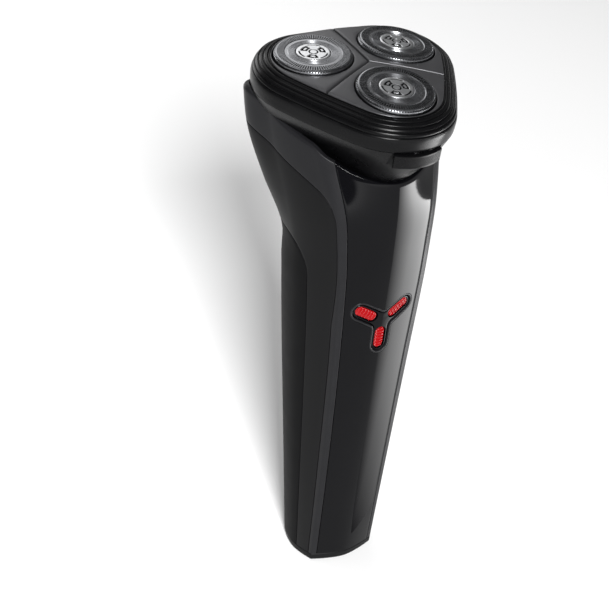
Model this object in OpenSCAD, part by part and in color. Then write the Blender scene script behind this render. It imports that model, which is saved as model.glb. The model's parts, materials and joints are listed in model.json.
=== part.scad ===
// Rotary electric shaver: three floating shaving heads on a flip-open head, and a slim upright handle.
// Millimetres. +Z is up, -Y is the front. The origin is the middle of the base that the shaver stands on.

/* [Handle] */
// Height of the handle, from the base to the crest behind the head
handle_h = 158; // [150:1:200]
// Overall width of the handle at its crest
handle_w = 56; // [54:1:72]
// Depth of the handle at its crest, front to back
handle_d = 46; // [44:1:60]
// Wall thickness of the handle's shells
wall = 1.6; // [1.2:0.1:2.2]
// Thickness of the bottom cap
base_t = 3; // [2.5:0.5:5]

/* [Shaving head] */
// Distance from the head's centre to the middle of each shaving cap
cap_pitch_r = 15; // [14.6:0.2:16]
// Radius of a shaving cap
cap_r = 10.75; // [10:0.05:11.2]
// How far the head leans forward, in degrees
head_tilt = 7.2; // [0:0.2:12]
// How far each shaving cap leans outward, in degrees
cap_tilt = 4; // [0:0.5:5]
// How far a shaving cap floats down
float_travel = 1.2; // [0.6:0.1:1.4]
// Number of hair slots in a shaving cap
slot_count = 36; // [12:1:60]
// Wall thickness of the head cover and the hair chamber
head_wall = 1.5; // [1.2:0.1:2]

/* [Drive] */
// Teeth on the motor pinion
pinion_teeth = 14; // [12:2:16]
// Radius of the motor can
motor_r = 10; // [8:0.5:10.5]
// Length of the motor can
motor_len = 21; // [16:1:24]
// Radius of the motor shaft and of the gear axles
shaft_r = 1; // [0.8:0.05:1.2]

/* [Power] */
// Radius of the rechargeable cell
cell_r = 7.25; // [5:0.25:7.4]
// Length of the rechargeable cell
cell_len = 50; // [40:1:56]
// Radius of a charging pin
pin_r = 1; // [0.8:0.1:1.2]
// Length of a charging pin
pin_len = 5; // [4:0.5:6]
// Distance between the two charging pins
pin_gap = 5; // [4:0.5:6]

/* [Power button] */
// Height of the button's centre above the base
button_z = 95.75; // [85:0.25:105]
// Reach of each arm of the button's recess
button_reach = 11.3; // [9:0.1:11.6]
// Width of each arm of the button's recess
button_arm_w = 6.5; // [5:0.1:7]
// Travel of the button
button_travel = 1; // [0.5:0.1:1.2]

/* [Head hinge and release] */
// Radius of the hinge pin
hinge_pin_r = 0.8; // [0.6:0.05:1]
// Half of the hinge's width
hinge_half_w = 9; // [7:0.5:11]
// Width of the release button
release_w = 14.6; // [12:0.2:16]
// Travel of the release button
release_travel = 1; // [0.5:0.1:1.2]

/* [Hidden] */
$fn = 48;
eps = 0.01;

// Clearances
run_gap = 0.04;     // radial gap between a pin and what turns on it
slide_gap = 0.15;   // gap beside a piece that slides
seat_gap = 0.05;    // gap between a piece and the shell it seats in

// Directions of the three heads, seen from above: front, rear right, rear left
head_dirs = [-90, 30, 150];
seam_dirs = [90, -30, -150];

// ---------------------------------------------------------------- handle surface
// The handle is a loft through half sections. Each row is a height and six points from the front
// centre, past the glossy panel's edge, the band's crease, the side and the rear corner, to the rear
// centre. The rows are drawn for a handle 158 high, 56 wide and 46 deep, and are scaled from there.
drawn = [56, 46, 158];
section_rows = [
    [0,   [[0, -15.0], [9.3, -12.9],  [11.6, -10.9], [13.6, -3.0], [10.5, 6.5],  [0, 9.6]]],
    [40,  [[0, -17.6], [10.0, -15.6], [12.6, -13.4], [16.4, -3.5], [12.7, 8.4],  [0, 12.2]]],
    [80,  [[0, -20.2], [11.0, -17.8], [13.8, -15.6], [18.6, -3.0], [14.2, 12.0], [0, 15.6]]],
    [105, [[0, -21.5], [12.0, -19.0], [15.0, -16.2], [19.8, -2.5], [15.4, 13.0], [0, 17.0]]],
    [116, [[0, -21.8], [12.5, -19.0], [15.8, -15.6], [20.3, -1.5], [16.0, 13.0], [0, 17.2]]],
    [130, [[0, -21.6], [13.6, -18.0], [17.6, -13.2], [22.6, 0.5],  [21.8, 15.2], [0, 20.5]]],
    [145, [[0, -20.4], [15.8, -12.8], [20.5, -7.5],  [25.5, 4.0],  [26.5, 17.2], [0, 24.0]]],
    [158, [[0, -19.5], [16.5, -9.0],  [22.5, -3.0],  [27.0, 6.0],  [27.8, 18.6], [0, 26.5]]]
];
size_scale = [handle_w / drawn.x, handle_d / drawn.y, handle_h / drawn.z];
row_z = [for (row = section_rows) row[0] * size_scale.z];
row_pts = [for (row = section_rows) [for (p = row[1]) [p.x * size_scale.x, p.y * size_scale.y]]];
last_row = len(section_rows) - 1;

function mix(a, b, t) = a + (b - a) * t;
function catmull(a, b, c, d, t) =
    0.5 * (2*b + (c - a)*t + (2*a - 5*b + 4*c - d)*t*t + (3*b - 3*c + d - a)*t*t*t);
function hermite(a, b, ta, tb, t) =
    (2*t*t*t - 3*t*t + 1)*a + (t*t*t - 2*t*t + t)*ta + (3*t*t - 2*t*t*t)*b + (t*t*t - t*t)*tb;
function row_below(z, k = 0) = k >= last_row - 1 || z < row_z[k + 1] ? k : row_below(z, k + 1);
function row_slope(k) =
    let (a = max(k - 1, 0), b = min(k + 1, last_row)) (row_pts[b] - row_pts[a]) / (row_z[b] - row_z[a]);
function section_at(z) =
    let (k = row_below(z), h = row_z[k + 1] - row_z[k])
    hermite(row_pts[k], row_pts[k + 1], row_slope(k) * h, row_slope(k + 1) * h, (z - row_z[k]) / h);
// Point of a half section at u, from 0 at the front centre to 5 at the rear centre
function half_pt(s, u) =
    let (i = min(floor(u), 4), before = i == 0 ? [-s[1].x, s[1].y] : s[i - 1],
         after = i == 4 ? [-s[4].x, s[4].y] : s[i + 2])
    catmull(before, s[i], s[i + 1], after, u - i);
function half_normal(s, u) =
    let (d = half_pt(s, min(u + 0.02, 5)) - half_pt(s, max(u - 0.02, 0))) [d.y, -d.x] / norm(d);
// Point of the handle's surface, sunk by inset; a negative u is the left half
function handle_pt(u, z, inset = 0) =
    let (s = section_at(z), p = half_pt(s, abs(u)), n = half_normal(s, abs(u)),
         q = p - inset * n)
    [(u < 0 ? -1 : 1) * (abs(u) < eps || abs(u) > 5 - eps ? 0 : q.x), q.y, z];

// Stations of a flat outline; they skip the tight corner between the front panel and the band
half_us = [0.5, 0.9, 1.9, 2.3, 2.7, 3.1, 3.5, 3.9, 4.3, 4.7];
outline_us = concat([0], half_us, [5], [for (i = [len(half_us) - 1:-1:0]) -half_us[i]]);
function handle_outline(z, inset) =
    [for (u = outline_us) let (p = handle_pt(u, z, inset)) [p.x, p.y]];

// Closed solid between a grid of outer points and a grid of inner points, both [row][column]
module shell_between(outer, inner) {
    rows = len(outer);
    cols = len(outer[0]);
    n = rows * cols;
    points = [for (grid = [outer, inner]) for (row = grid) for (p = row) p];
    function quad(a, b, c, d) = [[a, b, c], [a, c, d]];
    faces = [
        for (r = [0:rows - 2]) for (c = [0:cols - 2])
            let (a = r * cols + c, b = a + 1, d = a + cols, e = d + 1)
            for (f = concat(quad(a, d, e, b), quad(n + a, n + b, n + e, n + d))) f,
        for (r = [0:rows - 2])
            let (a = r * cols, d = a + cols, b = a + cols - 1, e = d + cols - 1)
            for (f = concat(quad(a, n + a, n + d, d), quad(b, e, n + e, n + b))) f,
        for (c = [0:cols - 2])
            let (a = c, b = c + 1, d = (rows - 1) * cols + c, e = d + 1)
            for (f = concat(quad(a, b, n + b, n + a), quad(d, n + d, n + e, e))) f
    ];
    polyhedron(points, faces, convexity = 8);
}

// ---------------------------------------------------------------- seams of the handle
// Each seam is a path of [u, height] points over the right half, from the base round to the rear centre.
// The first straight stretch has straight_knots knots, and the rest is a smooth curve.
straight_knots = 6;
base_top = base_t;
function at_h(z) = z * size_scale.z;
rim_knots = [
    [1, base_top], [1, at_h(50)], [1, at_h(95)], [1, at_h(120)], [1, at_h(135)], [1, at_h(144.6)],
    [1.6, at_h(147.3)], [2.2, at_h(149.4)], [2.75, at_h(152.3)], [3.3, at_h(156)],
    [4, at_h(157.2)], [5, at_h(154.8)]
];
crease_knots = [
    [1.95, base_top], [1.97, at_h(50)], [1.95, at_h(95)], [1.62, at_h(118)], [1.5, at_h(128.5)],
    [1.62, at_h(132.4)], [1.9, at_h(134.8)], [2.3, at_h(137.6)], [2.75, at_h(140.7)],
    [3.3, at_h(144.6)], [4, at_h(147.5)], [5, at_h(148)]
];
grip_edge_u = 2.62;
grip_flat_u = 3.35;
grip_top = 118;
grip_corner = 10;
// Height of the rear grip's top edge at u
function grip_top_at(u) = at_h(grip_top - grip_corner
    + grip_corner * sqrt(max(0, 1 - pow(max(0, grip_flat_u - u) / (grip_flat_u - grip_edge_u), 2))));
grip_knots = [
    [grip_edge_u, base_top], [grip_edge_u, at_h(40)], [grip_edge_u, at_h(80)],
    [grip_edge_u, at_h(grip_top - grip_corner)],
    for (u = [2.63, 2.68, 2.8, 3.0, 3.35, 3.9, 4.4, 5]) [u, grip_top_at(u)]
];
steps_per_knot = 4;
function seam_pt(knots, s) =
    let (last = len(knots) - 1, i = min(floor(s), last - 1), t = s - i,
         a = knots[max(i - 1, 0)], d = knots[min(i + 2, last)])
    i < straight_knots - 1 || t == 0
        ? mix(knots[i], knots[i + 1], t)
        : catmull(i == straight_knots - 1 ? 2 * knots[i] - knots[i + 1] : a, knots[i], knots[i + 1], d, t);
seam_steps = [for (i = [0:(len(rim_knots) - 1) * steps_per_knot]) i / steps_per_knot];
// Right half followed by the mirrored left half, so that the strip runs round the rear
function both_sides(path) =
    concat(path, [for (i = [len(path) - 2:-1:0]) [-path[i].x, path[i].y]]);
function seam(knots) = both_sides([for (s = seam_steps) seam_pt(knots, s)]);

// Shell strip between two seams
module seam_strip(knots_a, knots_b, across) {
    a = seam(knots_a);
    b = seam(knots_b);
    function grid(inset) = [for (j = [0:across]) [for (i = [0:len(a) - 1])
        let (p = mix(a[i], b[i], j / across)) handle_pt(p.x, p.y, inset)]];
    shell_between(grid(wall), grid(0));
}

// ---------------------------------------------------------------- head frame
head_y = 0.6;
head_z = at_h(166.2);
module in_head() translate([0, head_y, head_z]) rotate([head_tilt, 0, 0]) children();

// Outline of the head: three round lobes joined by three long, nearly flat sides.
// lobe is how far the lobes reach, side how far the sides stand off, shift moves it forward.
side_bow_r = 200;
lobe_steps = 10;
side_steps = 6;
function head_outline(lobe, side, shift = 0) =
    let (c2 = side_bow_r - side, k = side_bow_r - lobe,
         q = (k*k - c2*c2) / (c2 - 2*k), r1 = lobe - q)
    [for (dir = head_dirs)
        let (c = q * [cos(dir), sin(dir)], sd = dir + 60,
             s = -c2 * [cos(sd), sin(sd)], v = c - s,
             phi = (atan2(v.y, v.x) - dir + 540) % 360 - 180)
        each concat(
            [for (j = [0:lobe_steps - 1]) let (t = dir - phi + 2 * phi * j / lobe_steps)
                c + r1 * [cos(t), sin(t)] - [0, shift]],
            [for (j = [0:side_steps - 1]) let (t = dir + phi + 2 * (60 - phi) * j / side_steps)
                s + side_bow_r * [cos(t), sin(t)] - [0, shift]])];
module head_prism(lobe, side, z_low, z_high, shift = 0) translate([0, 0, z_low])
    linear_extrude(z_high - z_low) polygon(head_outline(lobe, side, shift));

function head_rings(list) = [for (o = list) [for (p = head_outline(o[0], o[1], o[3])) [p.x, p.y, o[2]]]];
// Solid through a list of [lobe, side, z, shift] outlines, from the top down
module head_solid(list) {
    loop = head_rings(list);
    n = len(loop[0]);
    m = len(loop);
    faces = [
        [for (c = [n - 1:-1:0]) c],
        for (r = [0:m - 2]) for (c = [0:n - 1])
            let (a = r * n + c, b = r * n + (c + 1) % n, d = a + n, e = b + n)
            for (f = [[a, e, d], [a, b, e]]) f,
        [for (c = [0:n - 1]) (m - 1) * n + c]
    ];
    polyhedron([for (ring = loop) for (p = ring) p], faces, convexity = 8);
}
// Ring-shaped shell through a list of [lobe, side, z, shift] outlines, closed round the head
module head_shell(outside, inside) {
    loop = concat(head_rings(outside), [for (i = [len(inside) - 1:-1:0]) head_rings(inside)[i]]);
    n = len(loop[0]);
    m = len(loop);
    faces = [for (r = [0:m - 1]) for (c = [0:n - 1])
        let (a = r * n + c, b = r * n + (c + 1) % n, d = (r + 1) % m * n + c, e = (r + 1) % m * n + (c + 1) % n)
        for (f = [[a, e, d], [a, b, e]]) f];
    polyhedron([for (ring = loop) for (p = ring) p], faces, convexity = 8);
}

// ---------------------------------------------------------------- heights along the head's axis
dome_r = 215;            // radius of the panels' gentle dome
dome_top = -0.3;
panel_low = -2.6;
carrier_t = 1.2;
carrier_low = panel_low - carrier_t;
cap_top = 0;
cap_plate_t = 0.6;
flange_r = cap_r + 0.85;
flange_rise = flange_r * sin(cap_tilt);
flange_top = panel_low - flange_rise - 0.1;
skirt_low = flange_top - 0.6;
frame_top = skirt_low - flange_rise - float_travel - 0.3;
frame_t = 1.2;
frame_low = frame_top - frame_t;
lock_t = 1.7;
parting_z = -10;
floor_top = -12.5;
floor_t = 1.2;
floor_low = floor_top - floor_t;
gear_top = floor_low - 0.7;
gear_t = 2.4;
gear_low = gear_top - gear_t;
plate_top = gear_low - 0.8;
plate_t = 1.2;
plate_low = plate_top - plate_t;

// Cutters and their drive
cutter_r = cap_r - 1.35;
blade_count = 15;
hub_r = 4.2;
hub_low = -5;
socket_depth = 2;
socket_r = 2.7;
tip_r = 1.9;
tip_h = 2.2;
tip_top = hub_low + 1.6;
tilt_pivot = (hub_low + tip_top) / 2;
spindle_pitch_r = cap_pitch_r + tilt_pivot * sin(cap_tilt);
coupling_r = 3.2;
coupling_top = tip_top - tip_h;
coupling_low = floor_top + float_travel + 0.3;
spring_seat = floor_top + float_travel + 2.3;
collar_r = 2.7;
collar_top = floor_top - 0.2;
post_r = 1.4;
post_top = tip_top - tip_h - float_travel - 1.2;
spring_wire_r = 0.2;
spring_r = 1.9;
spring_turns = 4;

// Gears: the mesh follows from the place of the spindles
gear_teeth = 40 - pinion_teeth;
tooth_module = 2 * spindle_pitch_r / (pinion_teeth + gear_teeth);
module at_spindle(k) in_head() rotate(head_dirs[k]) translate([spindle_pitch_r, 0, 0]) children();
module gear_blank(teeth, z_low, z_high) {
    pitch_r = teeth * tooth_module / 2;
    root_r = pitch_r - 1.15 * tooth_module;
    tip_r = pitch_r + 0.9 * tooth_module;
    half = 90 / teeth;
    points = [for (i = [0:teeth - 1]) let (a = i * 360 / teeth)
        each [[root_r, a - 1.15 * half], [tip_r, a - 0.38 * half],
              [tip_r, a + 0.38 * half], [root_r, a + 1.15 * half]]];
    translate([0, 0, z_low]) linear_extrude(z_high - z_low)
        polygon([for (p = points) p[0] * [cos(p[1]), sin(p[1])]]);
}
// Turn that puts a gap of gear k over the pinion tooth nearest to it
function gear_phase(k) = 180 + (head_dirs[k] * pinion_teeth / 360 - 0.5) * 360 / gear_teeth;

// Helical spring standing on z = 0
module coil_spring(r, wire_r, turns, height) {
    sides = 6;
    steps_per_turn = 12;
    steps = turns * steps_per_turn;
    rise = (height - 2 * wire_r) / steps;
    points = [for (i = [0:steps]) for (j = [0:sides - 1])
        let (a = i * 360 / steps_per_turn, b = j * 360 / sides, q = r + wire_r * cos(b))
        [q * cos(a), q * sin(a), wire_r + i * rise + wire_r * sin(b)]];
    faces = [
        [for (j = [0:sides - 1]) j],
        for (i = [0:steps - 1]) for (j = [0:sides - 1])
            let (a = i * sides + j, b = i * sides + (j + 1) % sides)
            for (f = [[a, a + sides, b], [b, a + sides, b + sides]]) f,
        [for (j = [sides - 1:-1:0]) steps * sides + j]
    ];
    polyhedron(points, faces, convexity = 10);
}
module tube(outer_r, inner_r, z_low, z_high) translate([0, 0, z_low]) difference() {
    cylinder(r = outer_r, h = z_high - z_low);
    translate([0, 0, -eps]) cylinder(r = inner_r, h = z_high - z_low + 2 * eps);
}
module rod(r, z_low, z_high) translate([0, 0, z_low]) cylinder(r = r, h = z_high - z_low);
module block(low, high) translate(low) cube(high - low);

// ---------------------------------------------------------------- colours
panel_black = "#26262a";
satin_grey = "#5c5c60";
side_grey = "#3c3c3f";
rubber_black = "#1c1c1e";
head_grey = "#48484c";
panel_grey = "#8a8a8e";
steel = "#c8c8cc";
inner_grey = "#6e7276";
accent_red = "#b01c24";
brass_tone = "#b9a15a";
board_green = "#1f6b3a";

// ---------------------------------------------------------------- shells of the handle
panel_columns = 10;
panel_dip = at_h(5);
module front_panel_blank() {
    edge = [for (i = [0:(straight_knots - 1) * steps_per_knot]) seam_pt(rim_knots, i / steps_per_knot).y];
    edge_top = edge[len(edge) - 1];
    function grid(inset) = [for (z = edge) [for (i = [0:panel_columns])
        let (u = -1 + 2 * i / panel_columns, top = edge_top - panel_dip * (1 - u * u),
             share = (z - base_top) / (edge_top - base_top))
        handle_pt(u, mix(base_top, top, share), inset)]];
    shell_between(grid(0), grid(wall));
}
// Room that the shells leave for the hair chamber
module chamber_room() in_head() head_solid([
    for (o = concat([[chamber_rings[0][0], chamber_rings[0][1], parting_z + 1, 0]], chamber_rings))
        [o[0] + seat_gap, o[1] + seat_gap, o[2], o[3]]]);
module front_panel() color(panel_black) difference() {
    front_panel_blank();
    y_prism(button_reach, button_arm_w, -50, 0);
    chamber_room();
}
module collar_frame() color(satin_grey) difference() {
    seam_strip(rim_knots, crease_knots, 4);
    chamber_room();
}
module rear_housing() color(side_grey) seam_strip(crease_knots, grip_knots, 4);
module rear_grip_blank() {
    path = seam(grip_knots);
    straight = (straight_knots - 3) * steps_per_knot;
    // columns run from the right edge round the rear to the left edge
    cols = [for (i = [straight:len(path) - 1 - straight]) path[i]];
    rows = [for (i = [0:straight]) path[i].y];
    corner_z = rows[straight];
    function grid(inset) = [for (z = rows) [for (c = cols)
        handle_pt(c.x, base_top + (c.y - base_top) * (z - base_top) / (corner_z - base_top), inset)]];
    shell_between(grid(0), grid(wall));
}
module rear_grip() color(rubber_black) rear_grip_blank();

// Flat plate that fills the handle
module handle_plate(z, t, inset) translate([0, 0, z]) linear_extrude(t) polygon(handle_outline(z, inset));

socket_y = -6.2;
socket_size = [14.6, 9.4];
socket_flange = [17, 12];
socket_hole = [11.6, 6.4];
socket_depth_z = 10.5;
socket_lift = 0.4;
pin_root_r = pin_r - 0.3;
screw_spots = [[5.5, 4.9], [-5.5, 4.9]];
screw_r = 1.1;
screw_head_r = 1.9;
screw_gap = 0.15;
head_pocket = 2.2;
// The foot's rounded edge, as [height, inset] steps
edge_steps = [[0, 1.2], [0.3, 0.6], [0.7, 0.25], [1.2, 0]];
lug_h = 1.6;
lug_t = 1.2;
lug_w = 5;
lug_y = -3;
lug_gap = 0.35;
foot_z = base_top + 2;
foot_t = 1.6;
// Slot with round ends, along X
module stadium(size) {
    square([size.x - size.y, size.y], center = true);
    for (s = [-1, 1]) translate([s * (size.x - size.y) / 2, 0]) circle(size.y / 2);
}
module stadium_prism(size, z_low, z_high) translate([0, socket_y, z_low])
    linear_extrude(z_high - z_low) stadium(size);

module bottom_cap() color(rubber_black) difference() {
    union() {
        for (step = edge_steps) handle_plate(step[0], base_top - step[0], step[1]);
        for (side = [-1, 1]) let (edge = handle_pt(3, base_top, wall).x - lug_gap)
            translate([side * (edge - lug_t / 2), lug_y, base_top - 0.5])
                translate([-lug_t / 2, -lug_w / 2, 0]) cube([lug_t, lug_w, lug_h + 0.5]);
    }
    stadium_prism(socket_size + [2, 2] * seat_gap, -1, base_top + 1);
    for (p = screw_spots) translate(p) {
        rod(screw_r + screw_gap, -1, base_top + 1);
        rod(screw_head_r + screw_gap, -1, head_pocket);
    }
}
module charging_socket() color(rubber_black) difference() {
    union() {
        stadium_prism(socket_size, socket_lift, base_top + eps);
        stadium_prism(socket_flange, base_top, foot_z);
        stadium_prism(socket_size, foot_z - eps, socket_depth_z + 1.5);
    }
    stadium_prism(socket_hole, -1, socket_depth_z);
    for (s = [-1, 1]) translate([s * pin_gap / 2, socket_y]) rod(pin_root_r, 1, socket_depth_z + 3);
}
module socket_pins() color(steel) for (s = [-1, 1]) translate([s * pin_gap / 2, socket_y]) {
    rod(pin_r, socket_depth_z - pin_len, socket_depth_z);
    rod(pin_root_r, socket_depth_z - eps, socket_depth_z + 3.5);
}
module base_screws() color(steel) for (p = screw_spots) translate(p) difference() {
    union() {
        rod(screw_head_r, 0.5, head_pocket);
        rod(screw_r, head_pocket - eps, foot_z + 6);
    }
    block([-1.4, -0.25, 0], [1.4, 0.25, 1.1]);
    block([-0.25, -1.4, 0], [0.25, 1.4, 1.1]);
}

// ---------------------------------------------------------------- power button
face_y = handle_pt(0, button_z).y;
face_edge = handle_pt(0.8, button_z);
face_sag = face_edge.y - face_y;
face_r = (face_edge.x * face_edge.x + face_sag * face_sag) / (2 * face_sag);
face_lean = atan((handle_pt(0, button_z - 10).y - handle_pt(0, button_z + 10).y) / 20);
arm_dirs = [150, 30, 270];
rim_t = 0.75;
key_gap = 0.2;
key_reach = button_reach - rim_t - key_gap;
key_w = button_arm_w - 2 * (rim_t + key_gap);
key_face = 0.35;
key_back = face_y + 2.5;
strip_w = 3.2;
strip_from = 2.3;
strip_to = 9.7;
strip_ribs = 7;
backplate_y = key_back + button_travel + 0.1;
backplate_t = 1;
stem_r = 1.6;
stem_end = backplate_y + backplate_t - 0.1;
module y_shape(reach, w) for (a = arm_dirs) rotate(a) {
    translate([0, -w / 2]) square([reach - w / 2, w]);
    translate([reach - w / 2, 0]) circle(w / 2);
}
// Runs a shape drawn in the front view from y_front back to y_back
module front_prism(y_front, y_back) translate([0, y_back, button_z]) rotate([90, 0, 0])
    linear_extrude(y_back - y_front) children();
module y_prism(reach, w, y_front, y_back) front_prism(y_front, y_back) y_shape(reach, w);
// Trims what is in front of the handle's face, sunk by depth
module behind_face(depth) intersection() {
    children();
    translate([0, face_y + depth + face_r, button_z]) rotate([face_lean, 0, 0])
        cylinder(r = face_r, h = 60, center = true, $fn = 96);
}
module strip_shape(w) for (a = arm_dirs) rotate(a) {
    translate([strip_from + w / 2, -w / 2]) square([strip_to - strip_from - w, w]);
    for (r = [strip_from + w / 2, strip_to - w / 2]) translate([r, 0]) circle(w / 2);
}
module button_bezel() color(satin_grey) difference() {
    union() {
        behind_face(0.1) y_prism(button_reach - seat_gap, button_arm_w - 2 * seat_gap, -50, backplate_y + eps);
        y_prism(button_reach - seat_gap, button_arm_w - 2 * seat_gap, backplate_y, backplate_y + backplate_t);
    }
    y_prism(button_reach - rim_t, button_arm_w - 2 * rim_t, -50, backplate_y);
    translate([0, 0, button_z]) rotate([-90, 0, 0]) cylinder(r = stem_r + slide_gap, h = 80, center = true);
}
module power_button() color(panel_black) {
    difference() {
        behind_face(key_face) y_prism(key_reach, key_w, -50, key_back);
        front_prism(-50, face_y + 1.6) strip_shape(strip_w);
    }
    translate([0, key_back - eps, button_z]) rotate([-90, 0, 0])
        cylinder(r = stem_r, h = stem_end - key_back);
}
module button_strips() color(accent_red) difference() {
    behind_face(0.15) front_prism(-50, face_y + 1.6) strip_shape(strip_w);
    front_prism(-50, face_y + 0.6) for (a = arm_dirs) rotate(a) for (i = [0:strip_ribs - 2])
        translate([strip_from + strip_w / 2 + (i + 0.5) * (strip_to - strip_from - strip_w) / (strip_ribs - 1), 0])
            square([0.3, strip_w + 1], center = true);
}

// ---------------------------------------------------------------- inside the handle
cell_z = 22;
cell_top = cell_z + cell_len;
board_low = 24;
board_high = button_z + 12;
board_t = 1.2;
board_front = handle_pt(1, board_low).y + wall + 1.2;
board_back = board_front + board_t;
rail_x = cell_r + 0.95;
rail_t = 1.2;
spine_front = handle_pt(5, foot_z).y - wall - 1.8;
spine_t = 1;
spine_half_w = 5.5;
cell_y = (board_back + spine_front) / 2;
rail_back = spine_front - 1.6;
ring_low = plate_low - motor_len - 2.2;
ring_high = ring_low + 8;
rails_top = head_z + ring_low - 0.2;
bulkhead_z = at_h(112);
motor_gap = 0.1;
module chassis() color(inner_grey) difference() {
    union() {
        handle_plate(foot_z, foot_t, wall + seat_gap);
        handle_plate(bulkhead_z, foot_t, wall + seat_gap);
        for (s = [-1, 1]) {
            block([min(s * rail_x, s * (rail_x + rail_t)), board_back, foot_z + foot_t / 2],
                  [max(s * rail_x, s * (rail_x + rail_t)), rail_back, rails_top + 1.5]);
        }
        block([-spine_half_w, spine_front, foot_z + foot_t / 2],
              [spine_half_w, spine_front + spine_t, bulkhead_z + foot_t / 2]);
        for (z = [cell_z - 3, cell_top + 1.4]) {
            block([-rail_x - rail_t / 2, board_back + 0.5, z], [rail_x + rail_t / 2, rail_back - 0.4, z + 1.4]);
            block([-spine_half_w + 0.5, rail_back - 2, z], [spine_half_w - 0.5, spine_front + spine_t / 2, z + 1.4]);
        }
        for (p = screw_spots) translate(p) rod(2.3, foot_z + foot_t / 2, foot_z + 7);
        in_head() rod(motor_r + motor_gap + 1.2, ring_low, ring_high);
    }
    stadium_prism(socket_size + [2, 2] * seat_gap, foot_z - 1, foot_z + foot_t + 1);
    for (p = screw_spots) translate(p) rod(screw_r, foot_z - 1, foot_z + 6.2);
    translate([0, 0, bulkhead_z - 1]) linear_extrude(foot_t + 2)
        translate([-rail_x + 0.6, board_back + 1.2]) square([2 * rail_x - 1.2, rail_back - board_back - 2.4]);
    in_head() rod(motor_r + motor_gap, ring_low - 1, 0);
}
module battery_cell() color("#4f8f5f") translate([0, cell_y, 0]) {
    rod(cell_r, cell_z, cell_top - 1);
    rod(cell_r * 0.38, cell_top - 1 - eps, cell_top);
}
contact_t = 0.4;
module battery_contacts() color(steel) {
    for (z = [cell_z - contact_t, cell_top]) translate([0, cell_y, 0]) {
        rod(cell_r * 0.36, z, z + contact_t);
        block([-1.5, board_back - cell_y, z], [1.5, 0, z + contact_t]);
    }
}
module circuit_board() color(board_green)
    block([-rail_x - rail_t, board_front, board_low], [rail_x + rail_t, board_back, board_high]);
module board_components() color("#2a2a2c") {
    block([-4, board_front - 0.9, 40], [2, board_front, 46]);
    block([-5, board_front - 0.8, 56], [-1, board_front, 61]);
    block([2, board_front - 0.6, 52], [4, board_front, 53.4]);
    block([2, board_front - 0.6, 60], [4, board_front, 61.4]);
    translate([4.5, board_front, 34]) rotate([90, 0, 0]) cylinder(r = 1.1, h = 1.1);
}
switch_face = stem_end + button_travel + 0.1;
switch_body_y = switch_face + 0.9;
module tact_switch() color("#303034") {
    block([-3, switch_body_y, button_z - 3], [3, board_front, button_z + 3]);
    translate([0, switch_body_y + eps, button_z]) rotate([90, 0, 0])
        cylinder(r = 1.3, h = switch_body_y - switch_face);
}
module indicator_led() color("#e8e8e0") translate([0, board_front, button_z - 8]) rotate([90, 0, 0]) {
    cylinder(r = 1, h = 1.6);
    translate([0, 0, 1.6]) sphere(r = 1);
}

// ---------------------------------------------------------------- drive
module motor_can() color(steel) in_head() difference() {
    union() {
        rod(motor_r, plate_low - motor_len, plate_low);
        rod(3, plate_low - eps, plate_top);
        rod(3, plate_low - motor_len - 1.4, plate_low - motor_len + eps);
        for (s = [-1, 1]) block([s * 6 - 0.4, -1.5, plate_low - motor_len - 2], [s * 6 + 0.4, 1.5, plate_low - motor_len + 1]);
    }
    rod(shaft_r + run_gap, plate_low - motor_len + 2, 0);
    for (s = [-1, 1]) translate([0, s * motor_screw_at]) rod(0.8, plate_low - 2.4, 0);
}
motor_screw_at = 6.5;
module motor_shaft() color(steel) in_head() rod(shaft_r, plate_low - motor_len + 2.2, gear_top + 0.3);
module motor_pinion() color(brass_tone) in_head() difference() {
    gear_blank(pinion_teeth, gear_low, gear_top);
    rod(shaft_r, gear_low - 1, gear_top + 1);
}
module motor_screws() color(steel) in_head() for (s = [-1, 1]) translate([0, s * motor_screw_at]) {
    rod(1.5, plate_top, plate_top + 0.55);
    rod(0.8, plate_low - 2.2, plate_top + eps);
}
plate_screw_r = 14.2;
module at_plate_screws() for (d = seam_dirs) rotate(d) translate([plate_screw_r, 0, 0]) children();
module gear_plate() color(inner_grey) in_head() difference() {
    head_prism(24.5, 17.3, plate_low, plate_top, 0.7);
    rod(3 + seat_gap, plate_low - 1, plate_top + 1);
    for (s = [-1, 1]) translate([0, s * motor_screw_at]) rod(0.8 + screw_gap, plate_low - 1, plate_top + 1);
    for (d = head_dirs) rotate(d) translate([spindle_pitch_r, 0]) rod(shaft_r, plate_low - 1, plate_top + 1);
    at_plate_screws() rod(0.9 + screw_gap, plate_low - 1, plate_top + 1);
}
module gearbox_screws() color(steel) in_head() at_plate_screws() {
    rod(1.7, plate_low - 1.4, plate_low);
    rod(0.9, plate_low - eps, gear_top - 0.4);
}
module gear_axles() color(steel) in_head() for (d = head_dirs) rotate(d) translate([spindle_pitch_r, 0])
    rod(shaft_r, plate_low, collar_top - 0.5);
module drive_gear(k) color("#e6e2d4") at_spindle(k) difference() {
    union() {
        rotate(gear_phase(k)) gear_blank(gear_teeth, gear_low, gear_top);
        rod(collar_r, gear_top - eps, collar_top);
        rod(post_r, collar_top - eps, post_top);
    }
    rod(shaft_r + run_gap, gear_low - 1, collar_top - 0.4);
}
module drive_gear_1() drive_gear(0);
module drive_gear_2() drive_gear(1);
module drive_gear_3() drive_gear(2);
module drive_coupling(k) color("#d8d8dc") at_spindle(k) difference() {
    union() {
        rod(coupling_r, coupling_low, coupling_top);
        rotate(30) translate([0, 0, coupling_top - eps]) cylinder(r = tip_r, h = tip_h + eps, $fn = 6);
    }
    rod(spring_r + spring_wire_r + 0.2, coupling_low - 1, spring_seat);
    rod(post_r + run_gap, coupling_low - 1, post_top + float_travel + 0.3);
}
module drive_coupling_1() drive_coupling(0);
module drive_coupling_2() drive_coupling(1);
module drive_coupling_3() drive_coupling(2);
module coupling_spring(k) color(steel) at_spindle(k) translate([0, 0, collar_top])
    coil_spring(spring_r, spring_wire_r, spring_turns, spring_seat - collar_top);
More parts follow.
